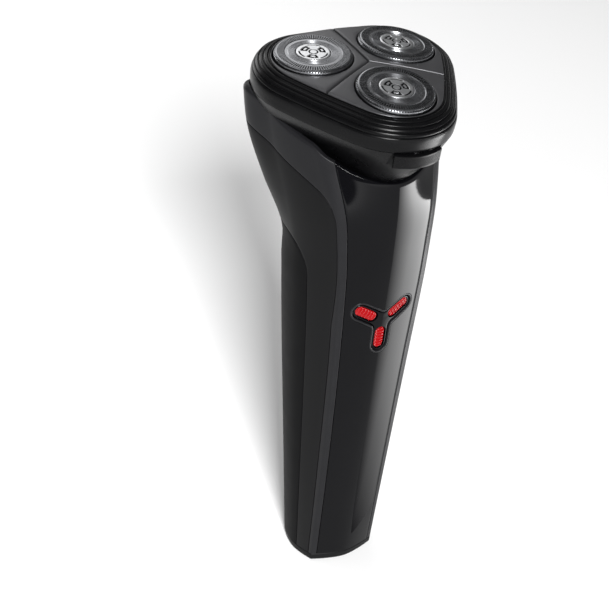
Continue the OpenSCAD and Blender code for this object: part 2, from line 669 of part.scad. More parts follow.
module coupling_spring_1() coupling_spring(0);
module coupling_spring_2() coupling_spring(1);
module coupling_spring_3() coupling_spring(2);
seal_r = 3.8;
seal_t = 0.8;
module spindle_seals() color(rubber_black) for (k = [0:2]) at_spindle(k)
    tube(seal_r, collar_r + 0.06, floor_low, floor_low + seal_t);

// ---------------------------------------------------------------- hair chamber, hinge and release
hinge_y = 25.3;
knuckle_r = hinge_pin_r + 0.9;
knuckle_split = hinge_half_w * 0.53;
knuckle_gap = 0.15;
module at_hinge() translate([0, hinge_y, parting_z]) rotate([0, 90, 0]) children();
lobe_centre_y = -18;
release_in_r = 12.85;
release_out_r = 14.2;
release_z = [-14.2, -10.3];
release_spring_z = -11.9;
release_spring_len = 3.4;
release_spring_r = 0.95;
release_spring_wire = 0.15;
pocket_r = release_in_r - release_travel - 0.1;
// Band round the front lobe, between two radii, |x| up to half_w
module lobe_band(inner_r, outer_r, half_w, z_low, z_high) intersection() {
    translate([0, lobe_centre_y, 0]) tube(outer_r, inner_r, z_low, z_high);
    block([-half_w, lobe_centre_y - outer_r - 1, z_low - 1], [half_w, lobe_centre_y - 4, z_high + 1]);
}
chamber_rings = [[31.0, 24.9, parting_z, 0], [30.4, 24.2, -11.5, 0], [29.2, 22.4, -14, 0.4],
                 [27.4, 20.2, -17, 0.6], [25.6, 18.3, -20, 0.8], [22.3, 16.2, -24, 1]];
function thinned(rings) = [for (o = rings) [o[0] - head_wall, o[1] - head_wall, o[2], o[3]]];
module hair_chamber() color(head_grey) in_head() difference() {
    union() {
        head_shell(chamber_rings, thinned(chamber_rings));
        head_prism(30 - head_wall, 23.4 - head_wall, floor_low, floor_top, 0.2);
        at_plate_screws() rod(2.3, plate_top, floor_low + eps);
        lobe_band(pocket_r - 1.3, pocket_r + 0.3, release_w / 2 + 1.2, -14, parting_z - 0.05);
        block([-2, lobe_centre_y - pocket_r, floor_top - eps],
              [2, lobe_centre_y - pocket_r + release_spring_len + 0.8, parting_z - 0.3]);
        for (s = [-1, 1]) at_hinge() rod(knuckle_r, s < 0 ? -hinge_half_w : knuckle_split + knuckle_gap,
                                         s < 0 ? -knuckle_split - knuckle_gap : hinge_half_w);
    }
    at_hinge() rod(hinge_pin_r, -hinge_half_w - 1, hinge_half_w + 1);
    at_hinge() rod(knuckle_r + 0.2, -knuckle_split - knuckle_gap, knuckle_split + knuckle_gap);
    lobe_band(pocket_r, 20, release_w / 2 + slide_gap, release_z[0] - slide_gap, 0);
    translate([0, lobe_centre_y - pocket_r - 1, release_spring_z]) rotate([-90, 0, 0])
        cylinder(r = release_spring_r + release_spring_wire + 0.1, h = release_spring_len);
    for (d = head_dirs) rotate(d) translate([spindle_pitch_r, 0]) {
        rod(collar_r + 0.25, floor_low - 1, floor_top + 1);
        rod(seal_r, floor_low - eps, floor_low + seal_t);
    }
    at_plate_screws() rod(0.9, plate_top - 1, gear_top);
}
module hinge_pin() color(steel) in_head() at_hinge() rod(hinge_pin_r, -hinge_half_w, hinge_half_w);
module release_button() color(rubber_black) in_head() {
    lobe_band(release_in_r, release_out_r, release_w / 2, release_z[0], release_z[1]);
    translate([0, lobe_centre_y - release_in_r - 0.3, release_spring_z]) rotate([-90, 0, 0])
        cylinder(r = release_spring_r - release_spring_wire - 0.1, h = 1.5);
}
release_spring_start = lobe_centre_y - release_in_r;
module release_spring() color(steel) in_head()
    translate([0, release_spring_start, release_spring_z]) rotate([-90, 0, 0])
    coil_spring(release_spring_r, release_spring_wire, 5,
                lobe_centre_y - pocket_r - 1 + release_spring_len - release_spring_start);

// ---------------------------------------------------------------- flip-open head
cover_rings = [[26.5, 20.7, -1.85, 0], [28.5, 22.6, -2.7, 0], [30.1, 24.2, -4, 0], [31.2, 25.3, -6.5, 0],
               [31.15, 25.25, -8.4, 0], [31.0, 25.1, parting_z, 0]];
cover_inner = [[26.5, 20.7, -3.1, 0], [30.1 - head_wall, 24.2 - head_wall, -5, 0],
               [31.2 - head_wall, 25.3 - head_wall, -6.8, 0], [31.1 - head_wall, 25.2 - head_wall, parting_z, 0]];
module head_cover() color(head_grey) in_head() difference() {
    union() {
        head_shell(cover_rings, cover_inner);
        at_hinge() rod(knuckle_r, -knuckle_split, knuckle_split);
    }
    at_hinge() rod(hinge_pin_r + run_gap, -hinge_half_w, hinge_half_w);
    for (s = [-1, 1]) at_hinge() rod(knuckle_r + 0.2, s < 0 ? -hinge_half_w - 0.3 : knuckle_split,
                                     s < 0 ? -knuckle_split : hinge_half_w + 0.3);
}
carrier_lobe = 26.5 - seat_gap;
carrier_side = 20.7 - seat_gap;
lip_out = 0.38;
lip_drop = 0.85;
lock_stem_r = 1.25;
module cap_holes(r) for (d = head_dirs) rotate(d) translate([cap_pitch_r, 0]) rod(r, -20, 5);
module panel_carrier() color(inner_grey) in_head() difference() {
    union() {
        head_prism(carrier_lobe, carrier_side, carrier_low, panel_low);
        head_prism(carrier_lobe + lip_out, carrier_side + lip_out, carrier_low, panel_low - lip_drop);
        rod(2.6, frame_top, carrier_low + eps);
    }
    cap_holes(flange_r + 0.6);
    rod(lock_stem_r + run_gap, frame_top - 1, carrier_low + 0.4);
}
seam_w = 0.35;
module head_panel(k) color(panel_grey) in_head() difference() {
    intersection() {
        head_prism(carrier_lobe, carrier_side, panel_low, 0);
        translate([0, 0, dome_top - dome_r]) sphere(r = dome_r, $fn = 360);
        rotate(head_dirs[k]) translate([0, 0, panel_low - 1]) linear_extrude(4)
            polygon([[seam_w, 0], [seam_w + 25, 25 * sqrt(3)], [60, 25 * sqrt(3)],
                     [60, -25 * sqrt(3)], [seam_w + 25, -25 * sqrt(3)]]);
    }
    cap_holes(cap_r + 0.3);
}
module head_panel_1() head_panel(0);
module head_panel_2() head_panel(1);
module head_panel_3() head_panel(2);

// Frame of cap k, tipped outward about the point where its drive meets it
module in_tilted_cap(k) at_spindle(k) translate([0, 0, tilt_pivot]) rotate([0, cap_tilt, 0])
    translate([0, 0, -tilt_pivot]) children();
disc_r = 4.7;
disc_stem_r = 3.3;
slot_in = 8.1;
slot_out = cap_r - 0.95;
slot_w = 0.36;
skirt_in_r = cap_r - 0.85;
module shaving_cap(k) color(steel) in_tilted_cap(k) difference() {
    rotate_extrude($fn = 96) polygon([
        [disc_stem_r + seat_gap, cap_top - cap_plate_t], [skirt_in_r, cap_top - cap_plate_t],
        [skirt_in_r, skirt_low], [flange_r, skirt_low], [flange_r, flange_top], [cap_r, flange_top],
        [cap_r, cap_top - 0.8], [cap_r - 0.55, cap_top], [7.9, cap_top], [7.75, cap_top - 0.15],
        [5.7, cap_top - 0.15], [5.55, cap_top], [disc_r + seat_gap, cap_top],
        [disc_r + seat_gap, cap_top - 0.25], [disc_stem_r + seat_gap, cap_top - 0.25]]);
    for (i = [0:slot_count - 1]) rotate(i * 360 / slot_count)
        block([slot_in, -slot_w / 2, cap_top - cap_plate_t - 0.5], [slot_out, slot_w / 2, cap_top + 1]);
}
module shaving_cap_1() shaving_cap(0);
module shaving_cap_2() shaving_cap(1);
module shaving_cap_3() shaving_cap(2);
module cap_disc(k) color(steel) in_tilted_cap(k) {
    rod(disc_r, cap_top - 0.25, cap_top + 0.15);
    rod(disc_stem_r, cap_top - cap_plate_t - 0.4, cap_top - 0.25 + eps);
}
module cap_disc_1() cap_disc(0);
module cap_disc_2() cap_disc(1);
module cap_disc_3() cap_disc(2);
blade_low = -2.2;
module cutter(k) color(steel) in_tilted_cap(k) difference() {
    union() {
        rod(cutter_r - 0.2, blade_low, blade_low + 0.8);
        for (i = [0:blade_count - 1]) rotate(i * 360 / blade_count) rotate([0, 0, 12])
            block([cutter_r - 2, -0.25, blade_low + 0.7], [cutter_r, 0.25, cap_top - cap_plate_t - 0.05]);
        rod(hub_r, hub_low, blade_low + eps);
    }
    rotate(30) translate([0, 0, hub_low - 1]) cylinder(r = socket_r, h = socket_depth + 1, $fn = 6);
}
module cutter_1() cutter(0);
module cutter_2() cutter(1);
module cutter_3() cutter(2);
module retaining_frame() color(inner_grey) in_head() difference() {
    head_prism(29.35, 23.45, frame_low, frame_top);
    for (d = head_dirs) rotate(d) translate([spindle_pitch_r, 0]) rod(6.2, frame_low - 1, frame_top + 1);
    for (d = seam_dirs) rotate(d) translate([15.5, 0]) rod(3, frame_low - 1, frame_top + 1);
    rod(lock_stem_r + run_gap, frame_low - 1, frame_top + 1);
}
module retaining_lock() color(accent_red) in_head() {
    difference() {
        rod(4, frame_low - lock_t, frame_low - 0.05);
        for (s = [-1, 1]) block([-3.2, s * 1.6 - 0.7, frame_low - lock_t - 1], [3.2, s * 1.6 + 0.7, frame_low - lock_t + 0.9]);
    }
    rod(lock_stem_r, frame_low - 0.06, carrier_low + 0.2);
}

front_panel();
collar_frame();
rear_housing();
rear_grip();
bottom_cap();
button_bezel();
power_button();
button_strips();
charging_socket();
socket_pins();
base_screws();
chassis();
battery_cell();
battery_contacts();
circuit_board();
board_components();
tact_switch();
indicator_led();
motor_can();
motor_shaft();
motor_pinion();
motor_screws();
gear_plate();
gearbox_screws();
gear_axles();
drive_gear_1();
drive_gear_2();
drive_gear_3();
drive_coupling_1();
drive_coupling_2();
drive_coupling_3();
coupling_spring_1();
coupling_spring_2();
coupling_spring_3();
spindle_seals();
hair_chamber();
hinge_pin();
release_button();
release_spring();
head_cover();
panel_carrier();
head_panel_1();
head_panel_2();
head_panel_3();
shaving_cap_1();
shaving_cap_2();
shaving_cap_3();
cap_disc_1();
cap_disc_2();
cap_disc_3();
cutter_1();
cutter_2();
cutter_3();
retaining_frame();
retaining_lock();
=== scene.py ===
import json
from math import asin, atan2, cos, degrees, hypot, pi, radians, sin

import bmesh
import bpy
import numpy as np
from mathutils import Matrix, Vector


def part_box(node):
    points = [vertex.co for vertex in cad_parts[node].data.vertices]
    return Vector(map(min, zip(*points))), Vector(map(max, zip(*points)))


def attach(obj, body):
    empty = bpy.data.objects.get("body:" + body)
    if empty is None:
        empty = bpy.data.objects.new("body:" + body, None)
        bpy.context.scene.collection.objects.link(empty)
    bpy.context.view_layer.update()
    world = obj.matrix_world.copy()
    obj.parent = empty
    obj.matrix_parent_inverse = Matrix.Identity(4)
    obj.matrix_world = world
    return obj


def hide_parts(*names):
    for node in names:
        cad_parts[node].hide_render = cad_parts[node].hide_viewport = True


# Looks of a rotary shaver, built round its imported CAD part. Shapes are worked out in millimetres in the
# part's frame (+Z up, -Y the front) and scaled to metres when a mesh is made.

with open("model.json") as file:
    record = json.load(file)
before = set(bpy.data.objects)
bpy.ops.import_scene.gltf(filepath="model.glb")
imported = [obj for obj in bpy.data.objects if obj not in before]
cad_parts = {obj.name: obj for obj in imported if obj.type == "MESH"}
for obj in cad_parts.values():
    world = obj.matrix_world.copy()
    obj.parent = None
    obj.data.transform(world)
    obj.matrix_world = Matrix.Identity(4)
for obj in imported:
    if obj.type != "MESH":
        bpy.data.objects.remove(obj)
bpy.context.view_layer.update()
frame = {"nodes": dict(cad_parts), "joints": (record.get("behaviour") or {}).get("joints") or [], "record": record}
MM = 0.001
JOINTS = {j["name"]: j for j in frame["joints"]}
HEADS = (1, 2, 3)
SHARP_DEG = 32.0   # edges that turn by more than this stay crisp


# ---------------------------------------------------------------- node materials
def rgb(hex_colour):
    """Linear colour of a hex sRGB colour."""
    parts = [int(hex_colour[i:i + 2], 16) / 255 for i in (1, 3, 5)]
    return [p / 12.92 if p <= 0.04045 else ((p + 0.055) / 1.055) ** 2.4 for p in parts]


def finish_material(name, colour, rough, metallic=0.0, specular=0.5, coat=0.0, mottle=0.12, rough_spread=0.06,
                    grain=2600.0, bump=0.05, depth=0.02, stretch=(1, 1, 1), pits=False, wave=None):
    """Moulded or metal surface: mottled colour, uneven roughness, and a fine grain, pits or turned rings."""
    m = bpy.data.materials.new(name)
    m.use_nodes = True
    nodes, links = m.node_tree.nodes, m.node_tree.links
    shader = nodes["Principled BSDF"]
    shader.inputs["Metallic"].default_value = metallic
    shader.inputs["Specular IOR Level"].default_value = specular
    shader.inputs["Coat Weight"].default_value = coat
    shader.inputs["Coat Roughness"].default_value = 0.04
    coords = nodes.new("ShaderNodeTexCoord")
    scale = nodes.new("ShaderNodeMapping")
    scale.inputs["Scale"].default_value = stretch
    links.new(coords.outputs["Object"], scale.inputs["Vector"])

    def noise(size, detail):
        n = nodes.new("ShaderNodeTexNoise")
        n.inputs["Scale"].default_value = size
        n.inputs["Detail"].default_value = detail
        links.new(scale.outputs["Vector"], n.inputs["Vector"])
        return n

    broad, fine = noise(160.0, 3.0), noise(grain, 2.0)
    ramp = nodes.new("ShaderNodeValToRGB")
    base = rgb(colour)
    ramp.color_ramp.elements[0].position, ramp.color_ramp.elements[1].position = 0.3, 0.7
    ramp.color_ramp.elements[0].color = (*[c * (1 - mottle) for c in base], 1)
    ramp.color_ramp.elements[1].color = (*[min(1, c * (1 + mottle)) for c in base], 1)
    blend = nodes.new("ShaderNodeMix")
    blend.inputs["Factor"].default_value = 0.45
    links.new(broad.outputs["Fac"], blend.inputs["A"])
    links.new(fine.outputs["Fac"], blend.inputs["B"])
    links.new(blend.outputs["Result"], ramp.inputs["Fac"])
    links.new(ramp.outputs["Color"], shader.inputs["Base Color"])
    spread = nodes.new("ShaderNodeMapRange")
    spread.inputs["To Min"].default_value = max(0.02, rough - rough_spread)
    spread.inputs["To Max"].default_value = min(1.0, rough + rough_spread)
    links.new(broad.outputs["Fac"], spread.inputs["Value"])
    links.new(spread.outputs["Result"], shader.inputs["Roughness"])
    relief = nodes.new("ShaderNodeBump")
    relief.inputs["Strength"].default_value = bump
    relief.inputs["Distance"].default_value = depth * MM
    height = fine.outputs["Fac"]
    if pits:
        cells = nodes.new("ShaderNodeTexVoronoi")
        cells.inputs["Scale"].default_value = grain * 0.5
        links.new(scale.outputs["Vector"], cells.inputs["Vector"])
        height = cells.outputs["Distance"]
    if wave:
        rings = nodes.new("ShaderNodeTexWave")
        rings.wave_type = "RINGS"
        rings.rings_direction = "Z"
        rings.inputs["Scale"].default_value = wave
        rings.inputs["Distortion"].default_value = 0.6
        rings.inputs["Detail"].default_value = 1.0
        links.new(scale.outputs["Vector"], rings.inputs["Vector"])
        height = rings.outputs["Fac"]
    links.new(height, relief.inputs["Height"])
    links.new(relief.outputs["Normal"], shader.inputs["Normal"])
    return m


MATERIALS = {
    "black_gloss": finish_material("black_gloss", "#08080a", 0.06, specular=0.1, rough_spread=0.02,
                                   bump=0.01),
    "satin_band": finish_material("satin_band", "#18181a", 0.36, specular=0.14, bump=0.05),
    "side_plastic": finish_material("side_plastic", "#0d0d0e", 0.46, specular=0.10, bump=0.08),
    "grip_rubber": finish_material("grip_rubber", "#0a0a0b", 0.60, specular=0.06, bump=0.2, pits=True,
                                   grain=3600.0),
    "head_plastic": finish_material("head_plastic", "#080809", 0.28, specular=0.12, bump=0.04),
    "head_panels": finish_material("head_panels", "#4c4c4e", 0.36, metallic=0.6, specular=0.3, bump=0.05),
    "cap_steel": finish_material("cap_steel", "#86878a", 0.27, metallic=1.0, bump=0.10, mottle=0.07,
                                 wave=900.0),
    "bright_steel": finish_material("bright_steel", "#cbccce", 0.32, metallic=1.0, bump=0.02, mottle=0.04),
    "screw_steel": finish_material("screw_steel", "#a5a7aa", 0.32, metallic=1.0, bump=0.06, mottle=0.08),
    "red_gloss": finish_material("red_gloss", "#8e060c", 0.26, specular=0.25, bump=0.02, mottle=0.06),
    "inner_plastic": finish_material("inner_plastic", "#3c3e41", 0.50, specular=0.4, bump=0.08),
    "gear_plastic": finish_material("gear_plastic", "#d9d4c2", 0.42, specular=0.45, bump=0.05),
    "brass_gear": finish_material("brass_gear", "#b08d45", 0.30, metallic=1.0, bump=0.05),
    "cell_sleeve": finish_material("cell_sleeve", "#3f7f52", 0.34, specular=0.5, bump=0.04),
    "board_laminate": finish_material("board_laminate", "#1c5a33", 0.44, specular=0.5, bump=0.10,
                                      stretch=(1, 1, 4)),
    "component_black": finish_material("component_black", "#1b1b1d", 0.48, specular=0.4, bump=0.08),
    "led_clear": finish_material("led_clear", "#e6e4da", 0.12, specular=0.6, coat=0.4, bump=0.02),
    # Painted shade: this near-black colour on the cap slots' floors stands in for the shadow inside the slots. The
    # same dark also colours the sunk emblem on the centre discs.
    "slot_shade_and_emblem": finish_material("slot_shade_and_emblem", "#040405", 0.60, specular=0.06, bump=0.08),
}


# ---------------------------------------------------------------- meshes
def mesh_object(name, points, faces, materials, material_index=None, sharp_deg=SHARP_DEG, matrix=None):
    """Closed mesh from points in mm. A matrix is the frame they are in, and becomes the object's own."""
    mesh = bpy.data.meshes.new(name)
    mesh.from_pydata((np.asarray(points, float) * MM).tolist(), [], [list(map(int, f)) for f in faces])
    for m in materials:
        mesh.materials.append(MATERIALS[m])
    if material_index is not None:
        mesh.polygons.foreach_set("material_index", np.asarray(material_index, np.int32))
    work = bmesh.new()
    work.from_mesh(mesh)
    bmesh.ops.remove_doubles(work, verts=work.verts, dist=1e-8)
    bmesh.ops.recalc_face_normals(work, faces=work.faces)
    work.to_mesh(mesh)
    work.free()
    obj = bpy.data.objects.new(name, mesh)
    bpy.context.scene.collection.objects.link(obj)
    if matrix is not None:
        obj.matrix_world = matrix
    shade(obj, sharp_deg)
    return obj


def shade(obj, sharp_deg=SHARP_DEG):
    """Smooth shading, with the edges sharper than an angle kept."""
    mesh = obj.data
    mesh.polygons.foreach_set("use_smooth", np.ones(len(mesh.polygons), bool))
    mesh.set_sharp_from_angle(angle=radians(sharp_deg))


def place(obj, body, replaced):
    """Says which body a piece rides on, which CAD nodes it replaces."""
    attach(obj, body)
    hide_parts(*replaced)


def grid_faces(rows, cols, start=0, closed=False):
    """Quads over a grid of points stored row by row; closed joins the last column to the first."""
    faces = []
    for r in range(rows - 1):
        for c in range(cols if closed else cols - 1):
            a, b = start + r * cols + c, start + r * cols + (c + 1) % cols
            faces.append((a, b, b + cols, a + cols))
    return faces


def shell_mesh(outer, inner):
    """Closed shell between two grids of points."""
    rows, cols, _ = outer.shape
    n = rows * cols
    faces = grid_faces(rows, cols) + [f[::-1] for f in grid_faces(rows, cols, n)]
    rim = [c for c in range(cols)] + [r * cols + cols - 1 for r in range(1, rows)]
    rim += [(rows - 1) * cols + c for c in range(cols - 2, -1, -1)]
    rim += [r * cols for r in range(rows - 2, 0, -1)]
    for a, b in zip(rim, rim[1:] + rim[:1]):
        faces.append((b, a, a + n, b + n))
    return np.concatenate([outer.reshape(-1, 3), inner.reshape(-1, 3)]), faces


def hoop_mesh(loops):
    """Closed ring whose section is the list of loops; each loop runs once round the ring."""
    loops = np.asarray(loops, float)
    m, n, _ = loops.shape
    faces = grid_faces(m, n, closed=True)
    faces += [((m - 1) * n + c, (m - 1) * n + (c + 1) % n, (c + 1) % n, c) for c in range(n)]
    return loops.reshape(-1, 3), faces


def loft_mesh(loops):
    """Closed solid through a list of loops, with a flat face on the first and the last."""
    loops = np.asarray(loops, float)
    m, n, _ = loops.shape
    return loops.reshape(-1, 3), grid_faces(m, n, closed=True) + [list(range(n))[::-1],
                                                                   list(range((m - 1) * n, m * n))]


def join_meshes(parts):
    """Points and faces of several meshes, as one."""
    points, faces = [], []
    for p, f in parts:
        start = sum(len(q) for q in points)
        points.append(p)
        faces += [tuple(i + start for i in face) for face in f]
    return np.concatenate(points), faces


def cut(obj, cutters):
    """Subtracts closed meshes from obj and removes them."""
    for tool in cutters:
        mod = obj.modifiers.new("cut", "BOOLEAN")
        mod.operation, mod.solver, mod.object = "DIFFERENCE", "EXACT", tool
    bpy.context.view_layer.update()
    result = bpy.data.meshes.new_from_object(obj.evaluated_get(bpy.context.evaluated_depsgraph_get()))
    obj.modifiers.clear()
    old, obj.data = obj.data, result
    bpy.data.meshes.remove(old)
    for tool in cutters:
        data = tool.data
        bpy.data.objects.remove(tool)
        bpy.data.meshes.remove(data)
    return obj


def round_sink(d, r):
    """How far a surface sinks at distance d from an edge rolled over with radius r."""
    q = r - np.clip(d, 0, r)
    return r - np.sqrt(np.maximum(r * r - q * q, 0))


def catmull(a, b, c, d, t):
    """Catmull-Rom curve from b to c, at share t."""
    square, cube = 2 * a - 5 * b + 4 * c - d, 3 * b - 3 * c + d - a
    return 0.5 * (2 * b + (c - a) * t + square * t ** 2 + cube * t ** 3)


# ---------------------------------------------------------------- surface of the handle
# Half sections from the base up: a height, and six points from the front centre round to the rear centre.
SECTIONS = (
    (0, ((0, -15.0), (9.3, -12.9), (11.6, -10.9), (13.6, -3.0), (10.5, 6.5), (0, 9.6))),
    (40, ((0, -17.6), (10.0, -15.6), (12.6, -13.4), (16.4, -3.5), (12.7, 8.4), (0, 12.2))),
    (80, ((0, -20.2), (11.0, -17.8), (13.8, -15.6), (18.6, -3.0), (14.2, 12.0), (0, 15.6))),
    (105, ((0, -21.5), (12.0, -19.0), (15.0, -16.2), (19.8, -2.5), (15.4, 13.0), (0, 17.0))),
    (116, ((0, -21.8), (12.5, -19.0), (15.8, -15.6), (20.3, -1.5), (16.0, 13.0), (0, 17.2))),
    (130, ((0, -21.6), (13.6, -18.0), (17.6, -13.2), (22.6, 0.5), (21.8, 15.2), (0, 20.5))),
    (145, ((0, -20.4), (15.8, -12.8), (20.5, -7.5), (25.5, 4.0), (26.5, 17.2), (0, 24.0))),
    (158, ((0, -19.5), (16.5, -9.0), (22.5, -3.0), (27.0, 6.0), (27.8, 18.6), (0, 26.5))),
)
ROW_Z = np.array([row[0] for row in SECTIONS], float)
ROW_P = np.array([row[1] for row in SECTIONS], float)
ABOVE = np.minimum(np.arange(len(ROW_Z)) + 1, len(ROW_Z) - 1)
BELOW = np.maximum(np.arange(len(ROW_Z)) - 1, 0)
ROW_SLOPE = (ROW_P[ABOVE] - ROW_P[BELOW]) / (ROW_Z[ABOVE] - ROW_Z[BELOW])[:, None, None]
REAR_U, TURN_U = 5.0, 10.0   # stations round the handle: right half up to 5, left half up to 10
WALL = 1.6
BASE_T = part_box("front_panel")[0].z / MM   # the bottom cap's height under the shells


def section_at(z):
    """The six points at height z, by Hermite curves through the sections."""
    k = np.clip(np.searchsorted(ROW_Z, z, side="right") - 1, 0, len(ROW_Z) - 2)
    h = ROW_Z[k + 1] - ROW_Z[k]
    t = ((z - ROW_Z[k]) / h)[..., None, None]
    h = h[..., None, None]
    return ((2 * t ** 3 - 3 * t ** 2 + 1) * ROW_P[k] + (t ** 3 - 2 * t ** 2 + t) * ROW_SLOPE[k] * h
            + (3 * t ** 2 - 2 * t ** 3) * ROW_P[k + 1] + (t ** 3 - t ** 2) * ROW_SLOPE[k + 1] * h)


def half_pt(section, u):
    """[x, y] on the right half at station u, on a smooth curve through the six points."""
    i = np.clip(np.floor(u).astype(int), 0, int(REAR_U) - 1)
    ring = np.concatenate([section[..., 1:2, :] * (-1, 1), section, section[..., 4:5, :] * (-1, 1)], axis=-2)
    p = [np.take_along_axis(ring, (i + j)[..., None, None], axis=-2)[..., 0, :] for j in range(4)]
    return catmull(*p, (u - i)[..., None])


def handle_pt(u, z, inset=0.0):
    """Points of the handle's surface, sunk by inset. u runs round from the front centre to the right."""
    u, z, inset = np.broadcast_arrays(*[np.asarray(v, float) for v in (u, z, inset)])
    u = np.mod(u, TURN_U)
    left = u > REAR_U
    a = np.where(left, TURN_U - u, u)
    section = section_at(z)
    step = half_pt(section, np.minimum(a + 0.02, REAR_U)) - half_pt(section, np.maximum(a - 0.02, 0))
    normal = np.stack([step[..., 1], -step[..., 0]], -1) / np.linalg.norm(step, axis=-1, keepdims=True)
    q = half_pt(section, a) - inset[..., None] * normal
    x = np.where((a < 1e-3) | (a > REAR_U - 1e-3), 0.0, q[..., 0])
    return np.stack([np.where(left, -x, x), q[..., 1], z], -1)


# Seams on that surface, as [u, height] knots over the right half. The first stretch is straight.
STRAIGHT = 6
RIM = ((1, 3), (1, 50), (1, 95), (1, 120), (1, 135), (1, 144.6), (1.6, 147.3), (2.2, 149.4), (2.75, 152.3),
       (3.3, 156), (4, 157.2), (5, 154.8))
CREASE = ((1.95, 3), (1.97, 50), (1.95, 95), (1.62, 118), (1.5, 128.5), (1.62, 132.4), (1.9, 134.8),
          (2.3, 137.6), (2.75, 140.7), (3.3, 144.6), (4, 147.5), (5, 148))
GRIP_U, GRIP_FLAT_U, GRIP_TOP, GRIP_CORNER = 2.62, 3.35, 118.0, 10.0


def grip_top(u):
    """Height of the rear grip's top edge at station u."""
    u = np.where(u > REAR_U, TURN_U - u, u)
    off = np.clip((GRIP_FLAT_U - u) / (GRIP_FLAT_U - GRIP_U), 0, 1)
    return GRIP_TOP - GRIP_CORNER + GRIP_CORNER * np.sqrt(1 - off ** 2)


GRIP = tuple((GRIP_U, z) for z in (3, 40, 80, 108)) + tuple(
    (u, float(grip_top(u))) for u in (2.63, 2.68, 2.8, 3.0, 3.35, 3.9, 4.4, 5.0))
KNOT_STEPS = 16
SEAM_GAP = 0.06
ROLL_R = 0.22
CREST_ROLL_R = 1.3
ROLL_ROWS = (0.0, 0.08, 0.28, 0.6, 1.0)


def seam(knots):
    """Dense [u, z] path over both halves, from the base at the right round the rear to the left."""
    knots = np.array(knots, float)
    last, path = len(knots) - 1, []
    for i in range(last):
        before = 2 * knots[i] - knots[i + 1] if i == STRAIGHT - 1 else knots[max(i - 1, 0)]
        for t in np.arange(KNOT_STEPS) / KNOT_STEPS:
            path.append(knots[i] + (knots[i + 1] - knots[i]) * t if i < STRAIGHT - 1 else
                        catmull(before, knots[i], knots[i + 1], knots[min(i + 2, last)], t))
    path = np.array(path + [knots[-1]])
    path[0, 1] += SEAM_GAP
    return np.concatenate([path, (path[:-1] * (-1, 1) + (TURN_U, 0))[::-1]])


def skin(uv, columns, across, first_roll=None, top_roll=0.0):
    """Shell over the handle. uv(s, t) gives [u, z] for s along the columns and t across them. The rows of
    each column are spaced by distance, so that the edges at t = 0 and t = 1 roll over; first_roll(s) is the
    radius at t = 0, where it isn't the usual one. top_roll is the length of a column run, when its s = 1 end
    rolls too."""
    probe = np.linspace(0, 1, 41)
    fractions = np.array(ROLL_ROWS)
    outer, inner = [], []
    for s in columns:
        line = uv(s, probe)
        gaps = np.linalg.norm(np.diff(handle_pt(line[:, 0], line[:, 1]), axis=0), axis=1)
        run = np.concatenate([[0], np.cumsum(gaps)])
        length = run[-1]
        ra, rb = (first_roll(s) if first_roll else ROLL_R), ROLL_R
        head, tail = SEAM_GAP + ra * fractions, length - (SEAM_GAP + rb * fractions[::-1])
        middle = np.linspace(head[-1], tail[0], across + 2)[1:-1]
        d = np.concatenate([head, middle, tail])
        line = uv(s, np.interp(d, run, probe))
        sink = np.maximum(round_sink(d - SEAM_GAP, ra), round_sink(length - SEAM_GAP - d, rb))
        if top_roll:
            sink = np.maximum(sink, round_sink((1 - s) * top_roll, ROLL_R))
        outer.append(handle_pt(line[:, 0], line[:, 1], sink))
        inner.append(handle_pt(line[:, 0], line[:, 1], WALL))
    return shell_mesh(np.array(outer), np.array(inner))


def between(path_a, path_b):
    """uv(s, t) that crosses from one seam to another, with s counting along both."""
    share = np.linspace(0, 1, len(path_a))

    def uv(s, t):
        a, b = ([np.interp(s, share, p[:, i]) for i in (0, 1)] for p in (path_a, path_b))
        t = np.asarray(t, float)
        return np.stack([a[0] + (b[0] - a[0]) * t, a[1] + (b[1] - a[1]) * t], -1)
    return uv


PANEL_TOP, PANEL_DIP = 144.6, 5.0


def panel_uv(s, t):
    """[u, z] on the gloss panel, s up it and t across, with a dip at the middle of its top edge."""
    t = np.asarray(t, float)
    u = -1 + 2 * t
    top = PANEL_TOP - PANEL_DIP * (1 - u * u) - SEAM_GAP
    low = BASE_T + SEAM_GAP
    return np.stack([u, low + (top - low) * s], -1)


def grip_uv(s, t):
    """[u, z] on the rear grip, s up it and t across."""
    u = GRIP_U + (TURN_U - 2 * GRIP_U) * np.asarray(t, float)
    low = BASE_T + SEAM_GAP
    return np.stack([u, low + (grip_top(u) - SEAM_GAP - low) * s], -1)


def top_columns(count, length):
    """Shares of a run with rows close together at its far end, where the edge rolls over."""
    ends = 1 - ROLL_R * np.array(ROLL_ROWS[::-1]) / length
    return np.concatenate([np.linspace(0, ends[0], count)[:-1], ends])


# ---------------------------------------------------------------- power button, seen from the front
BUTTON_Z = 95.75
RECESS_REACH, RECESS_HALF_W, RECESS_FILLET = 11.3, 3.25, 1.3
ARM_DIRS = (150.0, 30.0, 270.0)
CAP_STEPS, FILLET_STEPS = 16, 8


def y_loop(grow):
    """[x, z] outline of the three-armed recess, offset outward by grow."""
    half_w, fillet = RECESS_HALF_W + grow, RECESS_FILLET - grow
    cap_at, fillet_at = RECESS_REACH - RECESS_HALF_W, (RECESS_HALF_W + RECESS_FILLET) / sin(radians(60))
    points = []
    for arm in sorted(ARM_DIRS):
        for a in np.linspace(arm - 90, arm + 90, CAP_STEPS):
            points.append([cap_at * cos(radians(arm)) + half_w * cos(radians(a)),
                           cap_at * sin(radians(arm)) + half_w * sin(radians(a))])
        for a in np.linspace(arm + 270, arm + 210, FILLET_STEPS):
            points.append([fillet_at * cos(radians(arm + 60)) + fillet * cos(radians(a)),
                           fillet_at * sin(radians(arm + 60)) + fillet * sin(radians(a))])
    return np.array(points)


def front_y(x, z):
    """Depth of the handle's front face at [x, z]."""
    probe = np.linspace(0, 1.2, 61)
    out = []
    for px, pz in zip(np.ravel(x), np.ravel(z)):
        line = handle_pt(probe, pz)
        out.append(np.interp(abs(px), line[:, 0], line[:, 1]))
    return np.array(out).reshape(np.shape(x))


